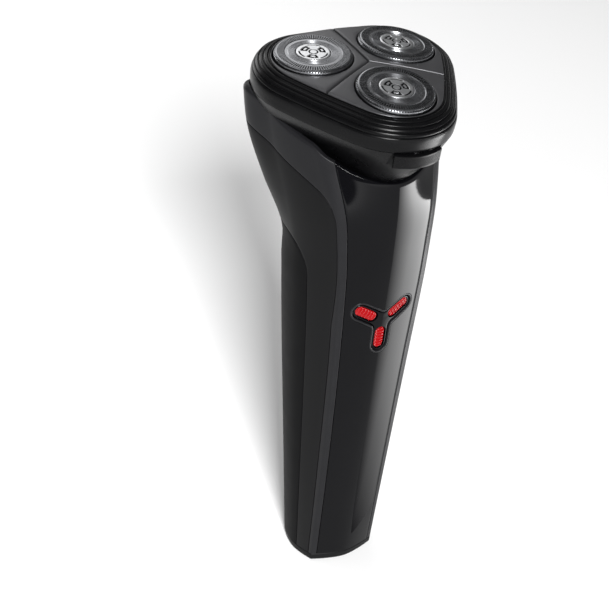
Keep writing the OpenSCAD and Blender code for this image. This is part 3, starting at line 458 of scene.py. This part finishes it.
def on_front(loop, depth):
    """Loop laid on the front face round the button's centre, sunk by depth."""
    x, z = loop[:, 0], loop[:, 1] + BUTTON_Z
    return np.stack([x, front_y(x, z) + depth, z], -1)


def flat_front(loop, y):
    """Loop round the button's centre, upright at depth y."""
    return np.stack([loop[:, 0], np.full(len(loop), y), loop[:, 1] + BUTTON_Z], -1)


def stadium_loop(arm, start, end, half_w, steps=14):
    """[x, z] outline of a slot with round ends along an arm."""
    points = []
    for centre, turn in ((end - half_w, 0), (start + half_w, 180)):
        for a in np.linspace(turn - 90, turn + 90, steps):
            p = np.array([centre + half_w * cos(radians(a)), half_w * sin(radians(a))])
            points.append([p[0] * cos(radians(arm)) - p[1] * sin(radians(arm)),
                           p[0] * sin(radians(arm)) + p[1] * cos(radians(arm))])
    return np.array(points)


FACE_Y = float(front_y(np.array([0.0]), np.array([BUTTON_Z]))[0])
AHEAD_Y = -50.0   # well in front of the shaver


def tool_prism(loop, y_front, y_back):
    """Cutter through the front, from one depth to another."""
    return mesh_object("tool", *loft_mesh([flat_front(loop, y_front), flat_front(loop, y_back)]), [])


def make_handle():
    rim, crease, grip = seam(RIM), seam(CREASE), seam(GRIP)
    shares = np.linspace(0, 1, len(rim))
    turn = (STRAIGHT - 1) / (2 * (len(RIM) - 1))

    def crest_roll(s):
        """Radius of the rim: small along the front panel, and large over the shoulder and the crest."""
        share = np.clip((min(s, 1 - s) - turn) / 0.12, 0, 1)
        return ROLL_R + (CREST_ROLL_R - ROLL_R) * share * share * (3 - 2 * share)
    place(mesh_object("collar_band", *skin(between(rim, crease), shares, 14, crest_roll), ["satin_band"]),
          "handle", ["collar_frame"])
    place(mesh_object("rear_shell", *skin(between(crease, grip), shares, 26), ["side_plastic"]),
          "handle", ["rear_housing"])
    place(mesh_object("grip_skin", *skin(grip_uv, top_columns(70, GRIP_TOP), 54, top_roll=GRIP_TOP),
                      ["grip_rubber"]), "handle", ["rear_grip"])
    front = mesh_object("gloss_front", *skin(panel_uv, top_columns(110, PANEL_TOP), 34, top_roll=PANEL_TOP),
                        ["black_gloss"])
    cut(front, [tool_prism(y_loop(0.0), AHEAD_Y, 0)])
    shade(front)
    place(front, "handle", ["front_panel"])


RIM_T, KEY_GAP = 0.75, 0.2
KEY_SINK, KEY_DEPTH = 0.35, 2.5
PAD_FROM, PAD_TO, PAD_HALF_W, PAD_RIBS = 2.5, 9.5, 1.45, 7
POCKET_GAP = 0.36
# Depths behind FACE_Y; a pad's back is just inside the key
PAD_LOW, POCKET_DEPTH, PAD_BACK, RIM_FLOOR, BUTTON_BACK = 1.86, 1.9, 1.95, 3.9, 4.6


def make_button():
    back_y, floor_y = FACE_Y + BUTTON_BACK, FACE_Y + RIM_FLOOR
    rim = [(-0.05, 0.3), (-0.05, 0.08), (-0.12, 0.0), (-0.3, -0.05), (-0.5, -0.03), (-0.64, 0.06),
           (-0.72, 0.2), (-RIM_T, 0.5)]
    loops = [flat_front(y_loop(-0.05), back_y)] + [on_front(y_loop(d), h) for d, h in rim]
    loops.append(flat_front(y_loop(-RIM_T), floor_y))
    place(mesh_object("button_rim", *loft_mesh(loops), ["satin_band"]), "handle", ["button_bezel"])

    edge = -(RIM_T + KEY_GAP)
    half_w = RECESS_HALF_W + edge
    steps = [(0, 0.55), (0.05, 0.3), (0.16, 0.1), (0.34, 0.0), (0.8, 0.0), (1.3, 0.0), (1.8, 0.0),
             (half_w - 0.06, 0.0)]
    loops = [flat_front(y_loop(edge), FACE_Y + KEY_DEPTH)]
    loops += [on_front(y_loop(edge - d), KEY_SINK + h) for d, h in steps]
    key = mesh_object("power_key", *loft_mesh(loops), ["black_gloss"])
    pocket = PAD_HALF_W + POCKET_GAP
    cut(key, [tool_prism(stadium_loop(a, PAD_FROM - POCKET_GAP, PAD_TO + POCKET_GAP, pocket), AHEAD_Y,
                         FACE_Y + POCKET_DEPTH) for a in ARM_DIRS])
    shade(key)
    place(key, "button", ["power_button"])

    # Ribbed pads: one surface per arm over a slot with round ends. top is the depth under the face.
    along = np.concatenate([[-1, -0.995, -0.98, -0.955], np.linspace(-0.93, 0.93, 113),
                            [0.955, 0.98, 0.995, 1]])
    across = np.array([-1, -0.97, -0.88, -0.7, -0.45, -0.2, 0, 0.2, 0.45, 0.7, 0.88, 0.97, 1])
    half_l, middle = (PAD_TO - PAD_FROM) / 2, (PAD_TO + PAD_FROM) / 2
    p = along * half_l
    end = np.maximum(np.abs(p) - (half_l - PAD_HALF_W), 0)
    w = np.sqrt(np.maximum(PAD_HALF_W ** 2 - end ** 2, 1e-4))
    px, pw = p[:, None] + 0 * across, w[:, None] * across
    rib = np.abs(np.cos(pi * PAD_RIBS * (px / (2 * half_l) + 0.5)))   # 1 in each valley
    past_end = np.maximum(np.abs(px) - (half_l - PAD_HALF_W), 0)
    crown = 1 - np.maximum(np.hypot(past_end, pw) / PAD_HALF_W, 0) ** 4
    top = 0.85 - 0.5 * np.clip(crown, 0, 1) ** 0.5 + 0.45 * rib ** 2 * np.clip(crown * 3, 0, 1)
    pads = []
    for arm in ARM_DIRS:
        c, s = cos(radians(arm)), sin(radians(arm))
        x = (middle + px) * c - pw * s
        z = (middle + px) * s + pw * c + BUTTON_Z
        outer = np.stack([x, np.minimum(front_y(x, z) + top, FACE_Y + PAD_LOW), z], -1)
        inner = np.stack([x, np.full(x.shape, FACE_Y + PAD_BACK), z], -1)
        pads.append(shell_mesh(outer, inner))
    place(mesh_object("button_pads", *join_meshes(pads), ["red_gloss"], sharp_deg=50),
          "button", ["button_strips"])


# ---------------------------------------------------------------- bottom cap
FOOT_ROUND = 1.2
SOCKET_Y = -6.2
SOCKET_SIZE = (14.7, 9.5)
SCREW_SPOTS, SCREW_HOLE_R = ((5.5, 4.9), (-5.5, 4.9)), 2.05
CUT_SPAN = (-2, 6)   # heights the foot's cutters reach between


def foot_loop(z, inset):
    """Closed outline of the handle at z, sunk by inset along normals evened out round the corners."""
    u = np.linspace(0, TURN_U, 241)[:-1]
    outer, sunk = handle_pt(u, z), handle_pt(u, z, 1.0)
    normal = (sunk - outer)[:, :2]
    kernel = np.exp(-np.linspace(-2, 2, 17) ** 2)
    wide = np.concatenate([normal[-8:], normal, normal[:8]])
    soft = np.stack([np.convolve(wide[:, i], kernel / kernel.sum(), "valid") for i in (0, 1)], -1)
    outer[:, :2] += inset * soft
    return outer


def make_foot():
    rise = np.linspace(0, 90, 7)
    loops = [foot_loop(FOOT_ROUND * (1 - cos(radians(a))), FOOT_ROUND * (1 - sin(radians(a)))) for a in rise]
    loops += [foot_loop(BASE_T - SEAM_GAP - 0.2, 0), foot_loop(BASE_T - SEAM_GAP, 0.2)]
    foot = mesh_object("foot_cap", *loft_mesh(loops), ["side_plastic"])
    half_l = SOCKET_SIZE[0] / 2
    slot = stadium_loop(0, -half_l, half_l, SOCKET_SIZE[1] / 2, 20)

    def upright(loop):
        ends = [np.column_stack([loop, np.full(len(loop), z)]) for z in CUT_SPAN]
        return mesh_object("tool", *loft_mesh(ends), [])
    tools = [upright(slot + (0, SOCKET_Y))]
    ring = np.linspace(0, 2 * pi, 41)[:-1]
    for x, y in SCREW_SPOTS:
        tools.append(upright(np.column_stack([x + SCREW_HOLE_R * np.cos(ring),
                                              y + SCREW_HOLE_R * np.sin(ring)])))
    cut(foot, tools)
    shade(foot)
    place(foot, "handle", ["bottom_cap"])


# ---------------------------------------------------------------- head frame
UP = Vector(JOINTS["motor_spin"]["axis"]).normalized()
MOTOR_DROP, PIVOT_DROP = 18.0, 4.2   # from the head's datum down to the motor's and the cutters' joints
HEAD_AT = Vector(JOINTS["motor_spin"]["pos_m"]) + UP * MOTOR_DROP * MM
TILT = atan2(-UP.y, UP.z)
HEAD_FRAME = Matrix.Translation(HEAD_AT) @ Matrix.Rotation(TILT, 4, "X")
HEAD_DIRS = (-90.0, 30.0, 150.0)
SIDE_BOW = 200.0
PARTING = -10.0
DOME_R, DOME_TOP, PANEL_LOW = 215.0, -0.3, -2.6
CAP_PITCH, CAP_R = 15.0, 10.75


def head_outline(lobe, side, lobe_steps=36, side_steps=24):
    """[x, y] outline of the head: three round lobes joined by three nearly flat sides."""
    c2, k = SIDE_BOW - side, SIDE_BOW - lobe
    q = (k * k - c2 * c2) / (c2 - 2 * k)
    r1 = lobe - q
    points = []
    for direction in HEAD_DIRS:
        c = q * np.array([cos(radians(direction)), sin(radians(direction))])
        s = -c2 * np.array([cos(radians(direction + 60)), sin(radians(direction + 60))])
        v = c - s
        phi = (degrees(atan2(v[1], v[0])) - direction + 540) % 360 - 180
        for centre, r, start, sweep, steps in ((c, r1, direction - phi, 2 * phi, lobe_steps),
                                               (s, SIDE_BOW, direction + phi, 2 * (60 - phi), side_steps)):
            for j in range(steps):
                a = radians(start + sweep * j / steps)
                points.append([centre[0] + r * cos(a), centre[1] + r * sin(a)])
    return np.array(points)


def head_loop(lobe, side, z):
    flat = head_outline(lobe, side)
    return np.column_stack([flat, np.full(len(flat), z)])


COVER = np.array([(26.55, 20.75, -1.85), (28.5, 22.6, -2.7), (30.1, 24.2, -4), (31.1, 25.2, -6.3),
                  (31.15, 25.25, -8.4), (31.0, 25.1, PARTING + 0.08)])
COVER_INNER = ((30.9 - 1.4, 25.0 - 1.4, PARTING + 0.08), (29.6, 23.7, -6.8), (28.4, 22.5, -5),
               (26.55, 20.75, -3.2))
RIB_PITCH, RIB_COUNT, RIB_START = 1.42, 4, 0.3
# One rib's section: share of its pitch, and height over the smooth profile
RIB = ((0.0, -0.34), (0.09, -0.36), (0.16, -0.30), (0.22, -0.08), (0.3, 0.02), (0.45, 0.06), (0.7, 0.04),
       (0.84, 0.0), (0.92, -0.10), (0.97, -0.30))
HINGE_Y, KNUCKLE_R, KNUCKLE_HALF = 25.3, 1.7, 4.77


def cover_profile():
    """[lobe, side, z] rings of the head's outside, with the ribs laid on a smooth profile."""
    knots = np.concatenate([[2 * COVER[0] - COVER[1]], COVER, [2 * COVER[-1] - COVER[-2]]])
    base = [catmull(*knots[i:i + 4], t) for i in range(len(COVER) - 1) for t in np.arange(24) / 24]
    base = np.array(base + [COVER[-1]])
    run = np.concatenate([[0], np.cumsum(np.hypot(np.diff(base[:, 0]), np.diff(base[:, 2])))])

    def at(d, lift):
        p = np.array([np.interp(d, run, base[:, i]) for i in range(3)])
        ahead = np.array([np.interp(d + 0.05, run, base[:, i]) for i in range(3)])
        back = np.array([np.interp(d - 0.05, run, base[:, i]) for i in range(3)])
        step = ahead - back
        n = np.array([-step[2], step[0]]) / hypot(step[0], step[2])
        return p + lift * np.array([n[0], n[0], n[1]])

    rings = [at(0.0, -0.1), at(0.06, 0.0), at(0.2, 0.0)]
    for i in range(RIB_COUNT):
        rings += [at(RIB_START + (i + share) * RIB_PITCH, lift) for share, lift in RIB]
    start = RIB_START + RIB_COUNT * RIB_PITCH
    rings += [at(start, -0.34), at(start + 0.08, -0.3), at(start + 0.16, -0.08), at(start + 0.3, 0.0)]
    rings += [at(d, 0.0) for d in np.linspace(start + 0.7, run[-1] - 0.4, 12)]
    rings += [at(run[-1] - 0.15, -0.03), at(run[-1] - 0.03, -0.15), at(run[-1], -0.35)]
    return rings


def barrel_mesh(r, x_from, x_to, chamfer=0.2, steps=40):
    """Closed barrel along X at the hinge."""
    turn = np.linspace(0, 2 * pi, steps + 1)[:-1]
    loops = []
    for x, q in ((x_from, r - chamfer), (x_from + chamfer, r), (x_to - chamfer, r), (x_to, r - chamfer)):
        loops.append(np.column_stack([np.full(steps, x), HINGE_Y + q * np.cos(turn),
                                      PARTING + q * np.sin(turn)]))
    return loft_mesh(loops)


def dome_z(x, y):
    """Height of the panels' gentle dome."""
    return DOME_TOP - DOME_R + np.sqrt(DOME_R ** 2 - x ** 2 - y ** 2)


PANEL_LOBE, PANEL_SIDE, PANEL_SEAM = 26.45, 20.65, 0.32
HOLE_R = CAP_R + 0.32


def reach_along(outline, start, ray):
    """Distance from start along a ray to a closed outline."""
    a, b = outline, np.roll(outline, -1, axis=0)
    e = b - a
    den = ray[0] * e[:, 1] - ray[1] * e[:, 0]
    w = a - start
    with np.errstate(divide="ignore", invalid="ignore"):
        t = (w[:, 0] * e[:, 1] - w[:, 1] * e[:, 0]) / den
        s = (w[:, 0] * ray[1] - w[:, 1] * ray[0]) / den
    return t[(t > 0) & (s >= -1e-9) & (s <= 1 + 1e-9)].min()


def panel_loops(direction):
    """Loops of one head panel, from the lower edge of its cap's hole over the top to the outer edge."""
    out = head_outline(PANEL_LOBE, PANEL_SIDE)
    d = radians(direction)
    axis = np.array([cos(d), sin(d)])
    edges = [np.array([cos(d + s * pi / 3), sin(d + s * pi / 3)]) for s in (-1, 1)]
    corner = axis * PANEL_SEAM / sin(pi / 3)
    inward = [np.array([-sin(d - pi / 3), cos(d - pi / 3)]), np.array([sin(d + pi / 3), -cos(d + pi / 3)])]

    def reach(centre, ray):
        """Distance along a ray to the panel's outer boundary."""
        best = reach_along(out, centre, ray)
        for n in inward:
            speed = ray @ n
            if speed < -1e-9:
                best = min(best, (PANEL_SEAM - centre @ n) / speed)
        return best

    centre = CAP_PITCH * axis
    angles = list(np.linspace(0, 2 * pi, 289)[:-1])
    fine = radians(0.4)
    # The panel's corners: at the middle of the head, and where each seam runs out through the outer edge
    targets = [corner] + [corner + e * reach_along(out, corner, e) for e in edges]
    for p in targets:
        a = atan2(*(p - centre)[::-1]) % (2 * pi)
        angles += [a - fine, a, a + fine]
    angles = np.array(sorted(angles))
    rays = np.column_stack([np.cos(angles), np.sin(angles)])
    far = np.array([reach(centre, ray) for ray in rays])
    roll = np.array([0, 0.03, 0.1, 0.2, 0.3])
    hole = np.full(len(far), HOLE_R)
    inner = hole + roll[-1]
    outer = np.maximum(far - roll[-1], inner + 0.02)
    reaches = [hole + v for v in roll] + [inner + (outer - inner) * v for v in (0.25, 0.5, 0.75)]
    reaches += [far - v for v in roll[::-1]]

    def top_loop(r):
        p = centre + rays * r[:, None]
        sink = round_sink(np.minimum(r - HOLE_R, far - r), roll[-1])
        return np.column_stack([p, dome_z(p[:, 0], p[:, 1]) - sink])

    def low_loop(r):
        return np.column_stack([centre + rays * r[:, None], np.full(len(far), PANEL_LOW)])
    return [low_loop(hole)] + [top_loop(r) for r in reaches] + [low_loop(far)]


def make_head():
    loops = [head_loop(*ring) for ring in cover_profile()]
    loops += [head_loop(lobe, side, z) for lobe, side, z in COVER_INNER]
    cover = join_meshes([hoop_mesh(loops), barrel_mesh(KNUCKLE_R, -KNUCKLE_HALF, KNUCKLE_HALF)])
    place(mesh_object("head_ring", *cover, ["head_plastic"], matrix=HEAD_FRAME),
          "flip_head", ["head_cover"])
    for k, direction in zip(HEADS, HEAD_DIRS):
        place(mesh_object(f"panel_{k}", *hoop_mesh(panel_loops(direction)), ["head_panels"],
                          matrix=HEAD_FRAME), "flip_head", [f"head_panel_{k}"])


# ---------------------------------------------------------------- shaving caps, each in its own frame
SLOTS, SLOT_SHARE, SLOT_DEPTH = 90, 0.54, 0.5
FLANGE_R, FLANGE_TOP, SKIRT_LOW = CAP_R + 0.85, -3.5, -4.1
FINE_RINGS, FINE_FROM, FINE_STEP = 5, 5.1, 0.34


def cap_frame(k):
    """Frame at the top of cap k, with Z along its axis and X away from the middle of the head."""
    spin = JOINTS[f"cutter_{k}_spin"]
    up = Vector(spin["axis"]).normalized()
    centre = Vector(spin["pos_m"]) + up * PIVOT_DROP * MM
    out = Vector((cos(radians(HEAD_DIRS[k - 1])), sin(radians(HEAD_DIRS[k - 1])), 0))
    x = (out - up * out.dot(up)).normalized()
    return Matrix.Translation(centre) @ Matrix((x, up.cross(x), up)).transposed().to_4x4()


NOTCH, NOTCH_FROM = 0.30, 10.3   # how far the slots cut inward at the rim, and the radius from which they do


def cap_mesh():
    """Slotted cap, turned from rows of [radius, height from the cap's top, slotted or not]. Its slotted faces are
    marked for the near-black painted slot shade.
    """
    rows = [(4.78, -0.6, 0), (4.78, -0.14, 0), (4.84, -0.04, 0), (4.94, 0.0, 0)]
    for i in range(FINE_RINGS):
        r = FINE_FROM + i * FINE_STEP
        rows += [(r, 0.0, 0), (r + 0.06, -0.13, 0), (r + 0.16, -0.13, 0), (r + 0.22, 0.0, 0)]
    rows += [(6.86, 0.0, 0), (6.98, -0.1, 0), (7.7, -0.12, 0), (7.86, -0.02, 0), (8.0, 0.0, 0),
             (8.04, 0.0, 1), (8.6, 0.0, 1), (9.2, 0.0, 1), (9.76, 0.0, 1), (9.8, 0.0, 0),
             (10.0, -0.015, 0), (10.2, -0.07, 0), (10.24, -0.09, 1), (10.45, -0.24, 1), (10.6, -0.44, 1),
             (10.64, -0.5, 0), (10.72, -0.7, 0), (CAP_R, -1.0, 0), (CAP_R, FLANGE_TOP, 0),
             (FLANGE_R, FLANGE_TOP, 0), (FLANGE_R, SKIRT_LOW, 0),
             (CAP_R - 0.85, SKIRT_LOW, 0), (CAP_R - 0.85, -0.6, 0)]
    pitch, half = 2 * pi / SLOTS, SLOT_SHARE / 2
    shares = (-0.5, -half - 0.05, -half, 0.0, half, half + 0.05)
    open_at = (0, 0, 1, 1, 1, 0)
    angles = np.array([(i + s) * pitch for i in range(SLOTS) for s in shares])
    column = np.tile(open_at, SLOTS)
    loops, slotted = [], []
    for r, z, band in rows:
        sunk = band * column
        radial = r - (NOTCH * sunk if r > NOTCH_FROM else 0)
        loops.append(np.column_stack([radial * np.cos(angles), radial * np.sin(angles),
                                      z - SLOT_DEPTH * sunk]))
        slotted.append(sunk)
    points, faces = hoop_mesh(loops)
    flat = np.array(slotted).ravel()
    return points, faces, [int(all(flat[i] for i in f)) for f in faces]


DISC_R, DISC_TOP = 4.7, 0.14
DISC_COLUMNS = 120
# Generic three-fold pattern: [inner radius, outer radius, direction, half width in degrees, raised island]
WINDOWS = [(1.7, 3.4, a, 27, True) for a in (90, 210, 330)]
WINDOWS += [(3.6, 4.05, a, 24, False) for a in (30, 150, 270)]
RING_LINE = (0.95, 1.35)
ISLAND, ISLAND_MARGIN, WINDOW_DEPTH = (2.3, 2.8), 13, 0.1


def disc_mesh():
    """Centre disc with its pattern sunk in."""
    radii = [0.0, 0.6, 0.92, 0.95, 1.35, 1.38, 1.67, 1.7, 2.27, 2.3, 2.8, 2.83, 3.37, 3.4, 3.57, 3.6, 4.05,
             4.08, 4.2, 4.5, 4.62, DISC_R]
    tops = [DISC_TOP] * (len(radii) - 3) + [DISC_TOP - 0.01, DISC_TOP - 0.06, DISC_TOP - 0.2]
    at = np.arange(DISC_COLUMNS) * 360 / DISC_COLUMNS
    turn = np.radians(at)

    def sunk(r, a):
        if RING_LINE[0] <= r <= RING_LINE[1]:
            return 1
        for low, high, direction, half, island in WINDOWS:
            off = abs((a - direction + 180) % 360 - 180)
            if low <= r <= high and off <= half:
                return 0 if island and ISLAND[0] <= r <= ISLAND[1] and off <= half - ISLAND_MARGIN else 1
        return 0
    loops, marks = [], []
    for r, z in zip(radii, tops):
        mark = np.array([sunk(r, a) for a in at])
        q = max(r, 0.02)
        loops.append(np.column_stack([q * np.cos(turn), q * np.sin(turn), z - WINDOW_DEPTH * mark]))
        marks.append(mark)
    for r, z in ((DISC_R, -0.24), (3.3, -0.24), (3.3, -0.8)):
        loops.append(np.column_stack([r * np.cos(turn), r * np.sin(turn), np.full(len(at), z)]))
        marks.append(np.zeros(len(at), int))
    points, faces = loft_mesh(loops)
    flat = np.array(marks).ravel()
    return points, faces, [int(all(flat[i] for i in f)) for f in faces]


def make_caps():
    kinds = (("slotted_cap", "shaving_cap", "cap_steel", cap_mesh()),
             ("cap_badge", "cap_disc", "bright_steel", disc_mesh()))
    for k in HEADS:
        for name, node, finish, (points, faces, marks) in kinds:
            # The caps' slotted faces take the near-black painted slot shade. The discs' sunk pattern takes the
            # same dark as their emblem.
            piece = mesh_object(f"{name}_{k}", points, faces, [finish, "slot_shade_and_emblem"], marks,
                                matrix=cap_frame(k))
            place(piece, f"cap_{k}", [f"{node}_{k}"])


# ---------------------------------------------------------------- release button
RELEASE_R, RELEASE_IN_R, RELEASE_HALF_W = 14.2, 12.85, 7.3
LOBE_Y = -18.0
RELEASE_Z = (-14.2, -10.3)
KNURL_COLUMNS, KNURL_ROWS, KNURL_H = 22, 5, 0.16
RELEASE_ROLL_R = 0.35


def make_release():
    """Curved tab under the front lobe, with a diamond knurl on its face."""
    half = asin(RELEASE_HALF_W / RELEASE_R)
    a = np.linspace(-half, half, KNURL_COLUMNS * 4 + 1)
    z = np.linspace(*RELEASE_Z, KNURL_ROWS * 4 + 1)
    aa, zz = np.meshgrid(a, z, indexing="ij")
    saw_a = np.abs((aa / (2 * half) * KNURL_COLUMNS) % 1 - 0.5) * 2
    saw_z = np.abs(((zz - RELEASE_Z[0]) / (RELEASE_Z[1] - RELEASE_Z[0]) * KNURL_ROWS) % 1 - 0.5) * 2
    edge = np.minimum((half - np.abs(aa)) * RELEASE_R, np.minimum(zz - RELEASE_Z[0], RELEASE_Z[1] - zz))
    inside = np.clip((edge - RELEASE_ROLL_R) / 0.2, 0, 1)
    r = RELEASE_R - round_sink(edge, RELEASE_ROLL_R) - KNURL_H * inside * np.abs(saw_a - saw_z)
    outer = np.stack([r * np.sin(aa), LOBE_Y - r * np.cos(aa), zz], -1)
    inner = np.stack([RELEASE_IN_R * np.sin(aa), LOBE_Y - RELEASE_IN_R * np.cos(aa), zz], -1)
    place(mesh_object("release_tab", *shell_mesh(outer, inner), ["head_plastic"], matrix=HEAD_FRAME),
          "release", ["release_button"])


# ---------------------------------------------------------------- CAD nodes that stay
WELD_M = 1e-6


def dress_kept_nodes():
    """Each CAD node that still shows gets its slot's finish, and smooth shading between its crisp edges."""
    slots = {part["node"]: part["material_slot"] for part in frame["record"]["subparts"]}
    for name, obj in frame["nodes"].items():
        if obj.hide_render:
            continue
        obj.data.materials.clear()
        obj.data.materials.append(MATERIALS[slots[name]])
        weld = obj.modifiers.new("weld", "WELD")
        weld.merge_threshold = WELD_M
        crease = obj.modifiers.new("crease", "EDGE_SPLIT")
        crease.split_angle = radians(SHARP_DEG)
        obj.data.polygons.foreach_set("use_smooth", np.ones(len(obj.data.polygons), bool))


# ---------------------------------------------------------------- stage, camera, lights
FLOOR_HALF, FLOOR_GAP = 4.0, 0.0002


def floor_material():
    """Matt, nearly white, with a faint mottle."""
    m = bpy.data.materials.new("studio_floor")
    m.use_nodes = True
    nodes, links = m.node_tree.nodes, m.node_tree.links
    shader = nodes["Principled BSDF"]
    shader.inputs["Roughness"].default_value = 0.9
    shader.inputs["Specular IOR Level"].default_value = 0.1
    grain = nodes.new("ShaderNodeTexNoise")
    grain.inputs["Scale"].default_value = 3.0
    ramp = nodes.new("ShaderNodeValToRGB")
    ramp.color_ramp.elements[0].color = (0.93, 0.93, 0.93, 1)
    ramp.color_ramp.elements[1].color = (0.95, 0.95, 0.95, 1)
    links.new(grain.outputs["Fac"], ramp.inputs["Fac"])
    links.new(ramp.outputs["Color"], shader.inputs["Base Color"])
    return m


def make_stage():
    mesh = bpy.data.meshes.new("floor")
    half = FLOOR_HALF
    corners = [(-half, -half, 0), (half, -half, 0), (half, half, 0), (-half, half, 0)]
    mesh.from_pydata(corners, [], [(0, 1, 2, 3)])
    mesh.materials.append(floor_material())
    floor = bpy.data.objects.new("floor", mesh)
    floor.location.z = -FLOOR_GAP
    bpy.context.scene.collection.objects.link(floor)


CAMERA_AT = (-0.17587, -0.28082, 0.29704)
CAMERA_RIGHT, CAMERA_UP = (0.88532, -0.45976, 0.06955), (0.19481, 0.50257, 0.84231)
CAMERA_BACK = (-0.42220, -0.73216, 0.53450)
LENS_MM = 77.34


def make_camera():
    data = bpy.data.cameras.new("camera")
    data.lens, data.sensor_width = LENS_MM, 36.0
    data.clip_start, data.clip_end = 0.01, 20
    cam = bpy.data.objects.new("camera", data)
    cam.matrix_world = (Matrix.Translation(CAMERA_AT)
                        @ Matrix((CAMERA_RIGHT, CAMERA_UP, CAMERA_BACK)).transposed().to_4x4())
    bpy.context.scene.collection.objects.link(cam)
    bpy.context.scene.camera = cam


# Card on the floor beside the shaver, that the gloss panel mirrors: a sector between two azimuths
CARD_AT, CARD_FROM, CARD_TO, CARD_REACH = (0.004, -0.021, 0.0006), radians(35), radians(78), 0.45
CARD_NEAR = ((0.004, 0, 0), (0.024, 0.002, 0))
# Strength per metre of distance, the share of it left at CARD_FROM, and the turns from there to all of it
CARD_GLOW, CARD_DIM, CARD_FADE = 62.0, 0.25, 0.075


def card_material():
    """Glow that grows with distance from the card's origin and with the angle from CARD_FROM."""
    material = bpy.data.materials.new("card_glow")
    material.use_nodes = True
    nodes, links = material.node_tree.nodes, material.node_tree.links
    nodes.remove(nodes["Principled BSDF"])
    coords, turn = nodes.new("ShaderNodeTexCoord"), nodes.new("ShaderNodeMapping")
    turn.inputs["Rotation"].default_value = (0, 0, pi / 2 - CARD_FROM)
    reach, sweep = nodes.new("ShaderNodeVectorMath"), nodes.new("ShaderNodeTexGradient")
    reach.operation, sweep.gradient_type = "LENGTH", "RADIAL"
    ramp, glow = nodes.new("ShaderNodeMapRange"), nodes.new("ShaderNodeMath")
    emission = nodes.new("ShaderNodeEmission")
    ramp.inputs["From Min"].default_value, ramp.inputs["From Max"].default_value = 0.5, 0.5 + CARD_FADE
    ramp.inputs["To Min"].default_value = CARD_DIM * CARD_GLOW
    ramp.inputs["To Max"].default_value = CARD_GLOW
    glow.operation = "MULTIPLY"
    links.new(coords.outputs["Object"], turn.inputs["Vector"])
    links.new(turn.outputs["Vector"], sweep.inputs["Vector"])
    links.new(coords.outputs["Object"], reach.inputs[0])
    links.new(sweep.outputs["Fac"], ramp.inputs["Value"])
    links.new(ramp.outputs["Result"], glow.inputs[0])
    links.new(reach.outputs["Value"], glow.inputs[1])
    links.new(glow.outputs["Value"], emission.inputs["Strength"])
    links.new(emission.outputs["Emission"], nodes["Material Output"].inputs["Surface"])
    material.cycles.emission_sampling = "NONE"
    return material


def make_card():
    """The card, which only reflections see."""
    arc = [(CARD_REACH * sin(a), -CARD_REACH * cos(a), 0) for a in np.linspace(CARD_FROM, CARD_TO, 12)]
    points = [CARD_NEAR[0], *arc, CARD_NEAR[1]]
    mesh = bpy.data.meshes.new("glow_card")
    mesh.from_pydata(points, [], [list(range(len(points)))[::-1]])
    mesh.materials.append(card_material())
    card = bpy.data.objects.new("glow_card", mesh)
    card.location = CARD_AT
    card.visible_camera = card.visible_diffuse = card.visible_shadow = card.visible_transmission = False
    bpy.context.scene.collection.objects.link(card)


def area_light(name, azimuth, elevation, distance, size, power, aim=(0, 0, 0.09)):
    """Softbox seen from the shaver at an azimuth (0 in front, 90 at its right) and an elevation."""
    data = bpy.data.lights.new(name, "AREA")
    data.shape, data.size, data.size_y = "RECTANGLE", *size
    data.energy = power
    lamp = bpy.data.objects.new(name, data)
    a, e = radians(azimuth), radians(elevation)
    away = Vector((sin(a) * cos(e), -cos(a) * cos(e), sin(e)))
    lamp.location = Vector(aim) + away * distance
    lamp.rotation_mode = "QUATERNION"
    lamp.rotation_quaternion = away.to_track_quat("Z", "Y")
    lamp.visible_camera = False
    bpy.context.scene.collection.objects.link(lamp)


WORLD_GLOW = 0.15


def make_lights():
    world = bpy.data.worlds.new("studio")
    world.use_nodes = True
    world.node_tree.nodes["Background"].inputs["Color"].default_value = (1, 1, 1, 1)
    world.node_tree.nodes["Background"].inputs["Strength"].default_value = WORLD_GLOW
    bpy.context.scene.world = world
    bpy.context.scene.view_settings.view_transform = "Standard"
    area_light("key", -20, 31, 2.2, (0.5, 0.5), 84.0)
    area_light("back_box", 168, 38, 1.0, (0.6, 0.45), 1.5)
    area_light("left_box", -115, 66, 0.8, (0.25, 0.35), 0.55)
    area_light("rear_fill", 195, 14, 0.9, (0.5, 0.5), 2.2)
    make_card()


make_handle()
make_button()
make_foot()
make_head()
make_caps()
make_release()
dress_kept_nodes()
make_stage()
make_camera()
make_lights()
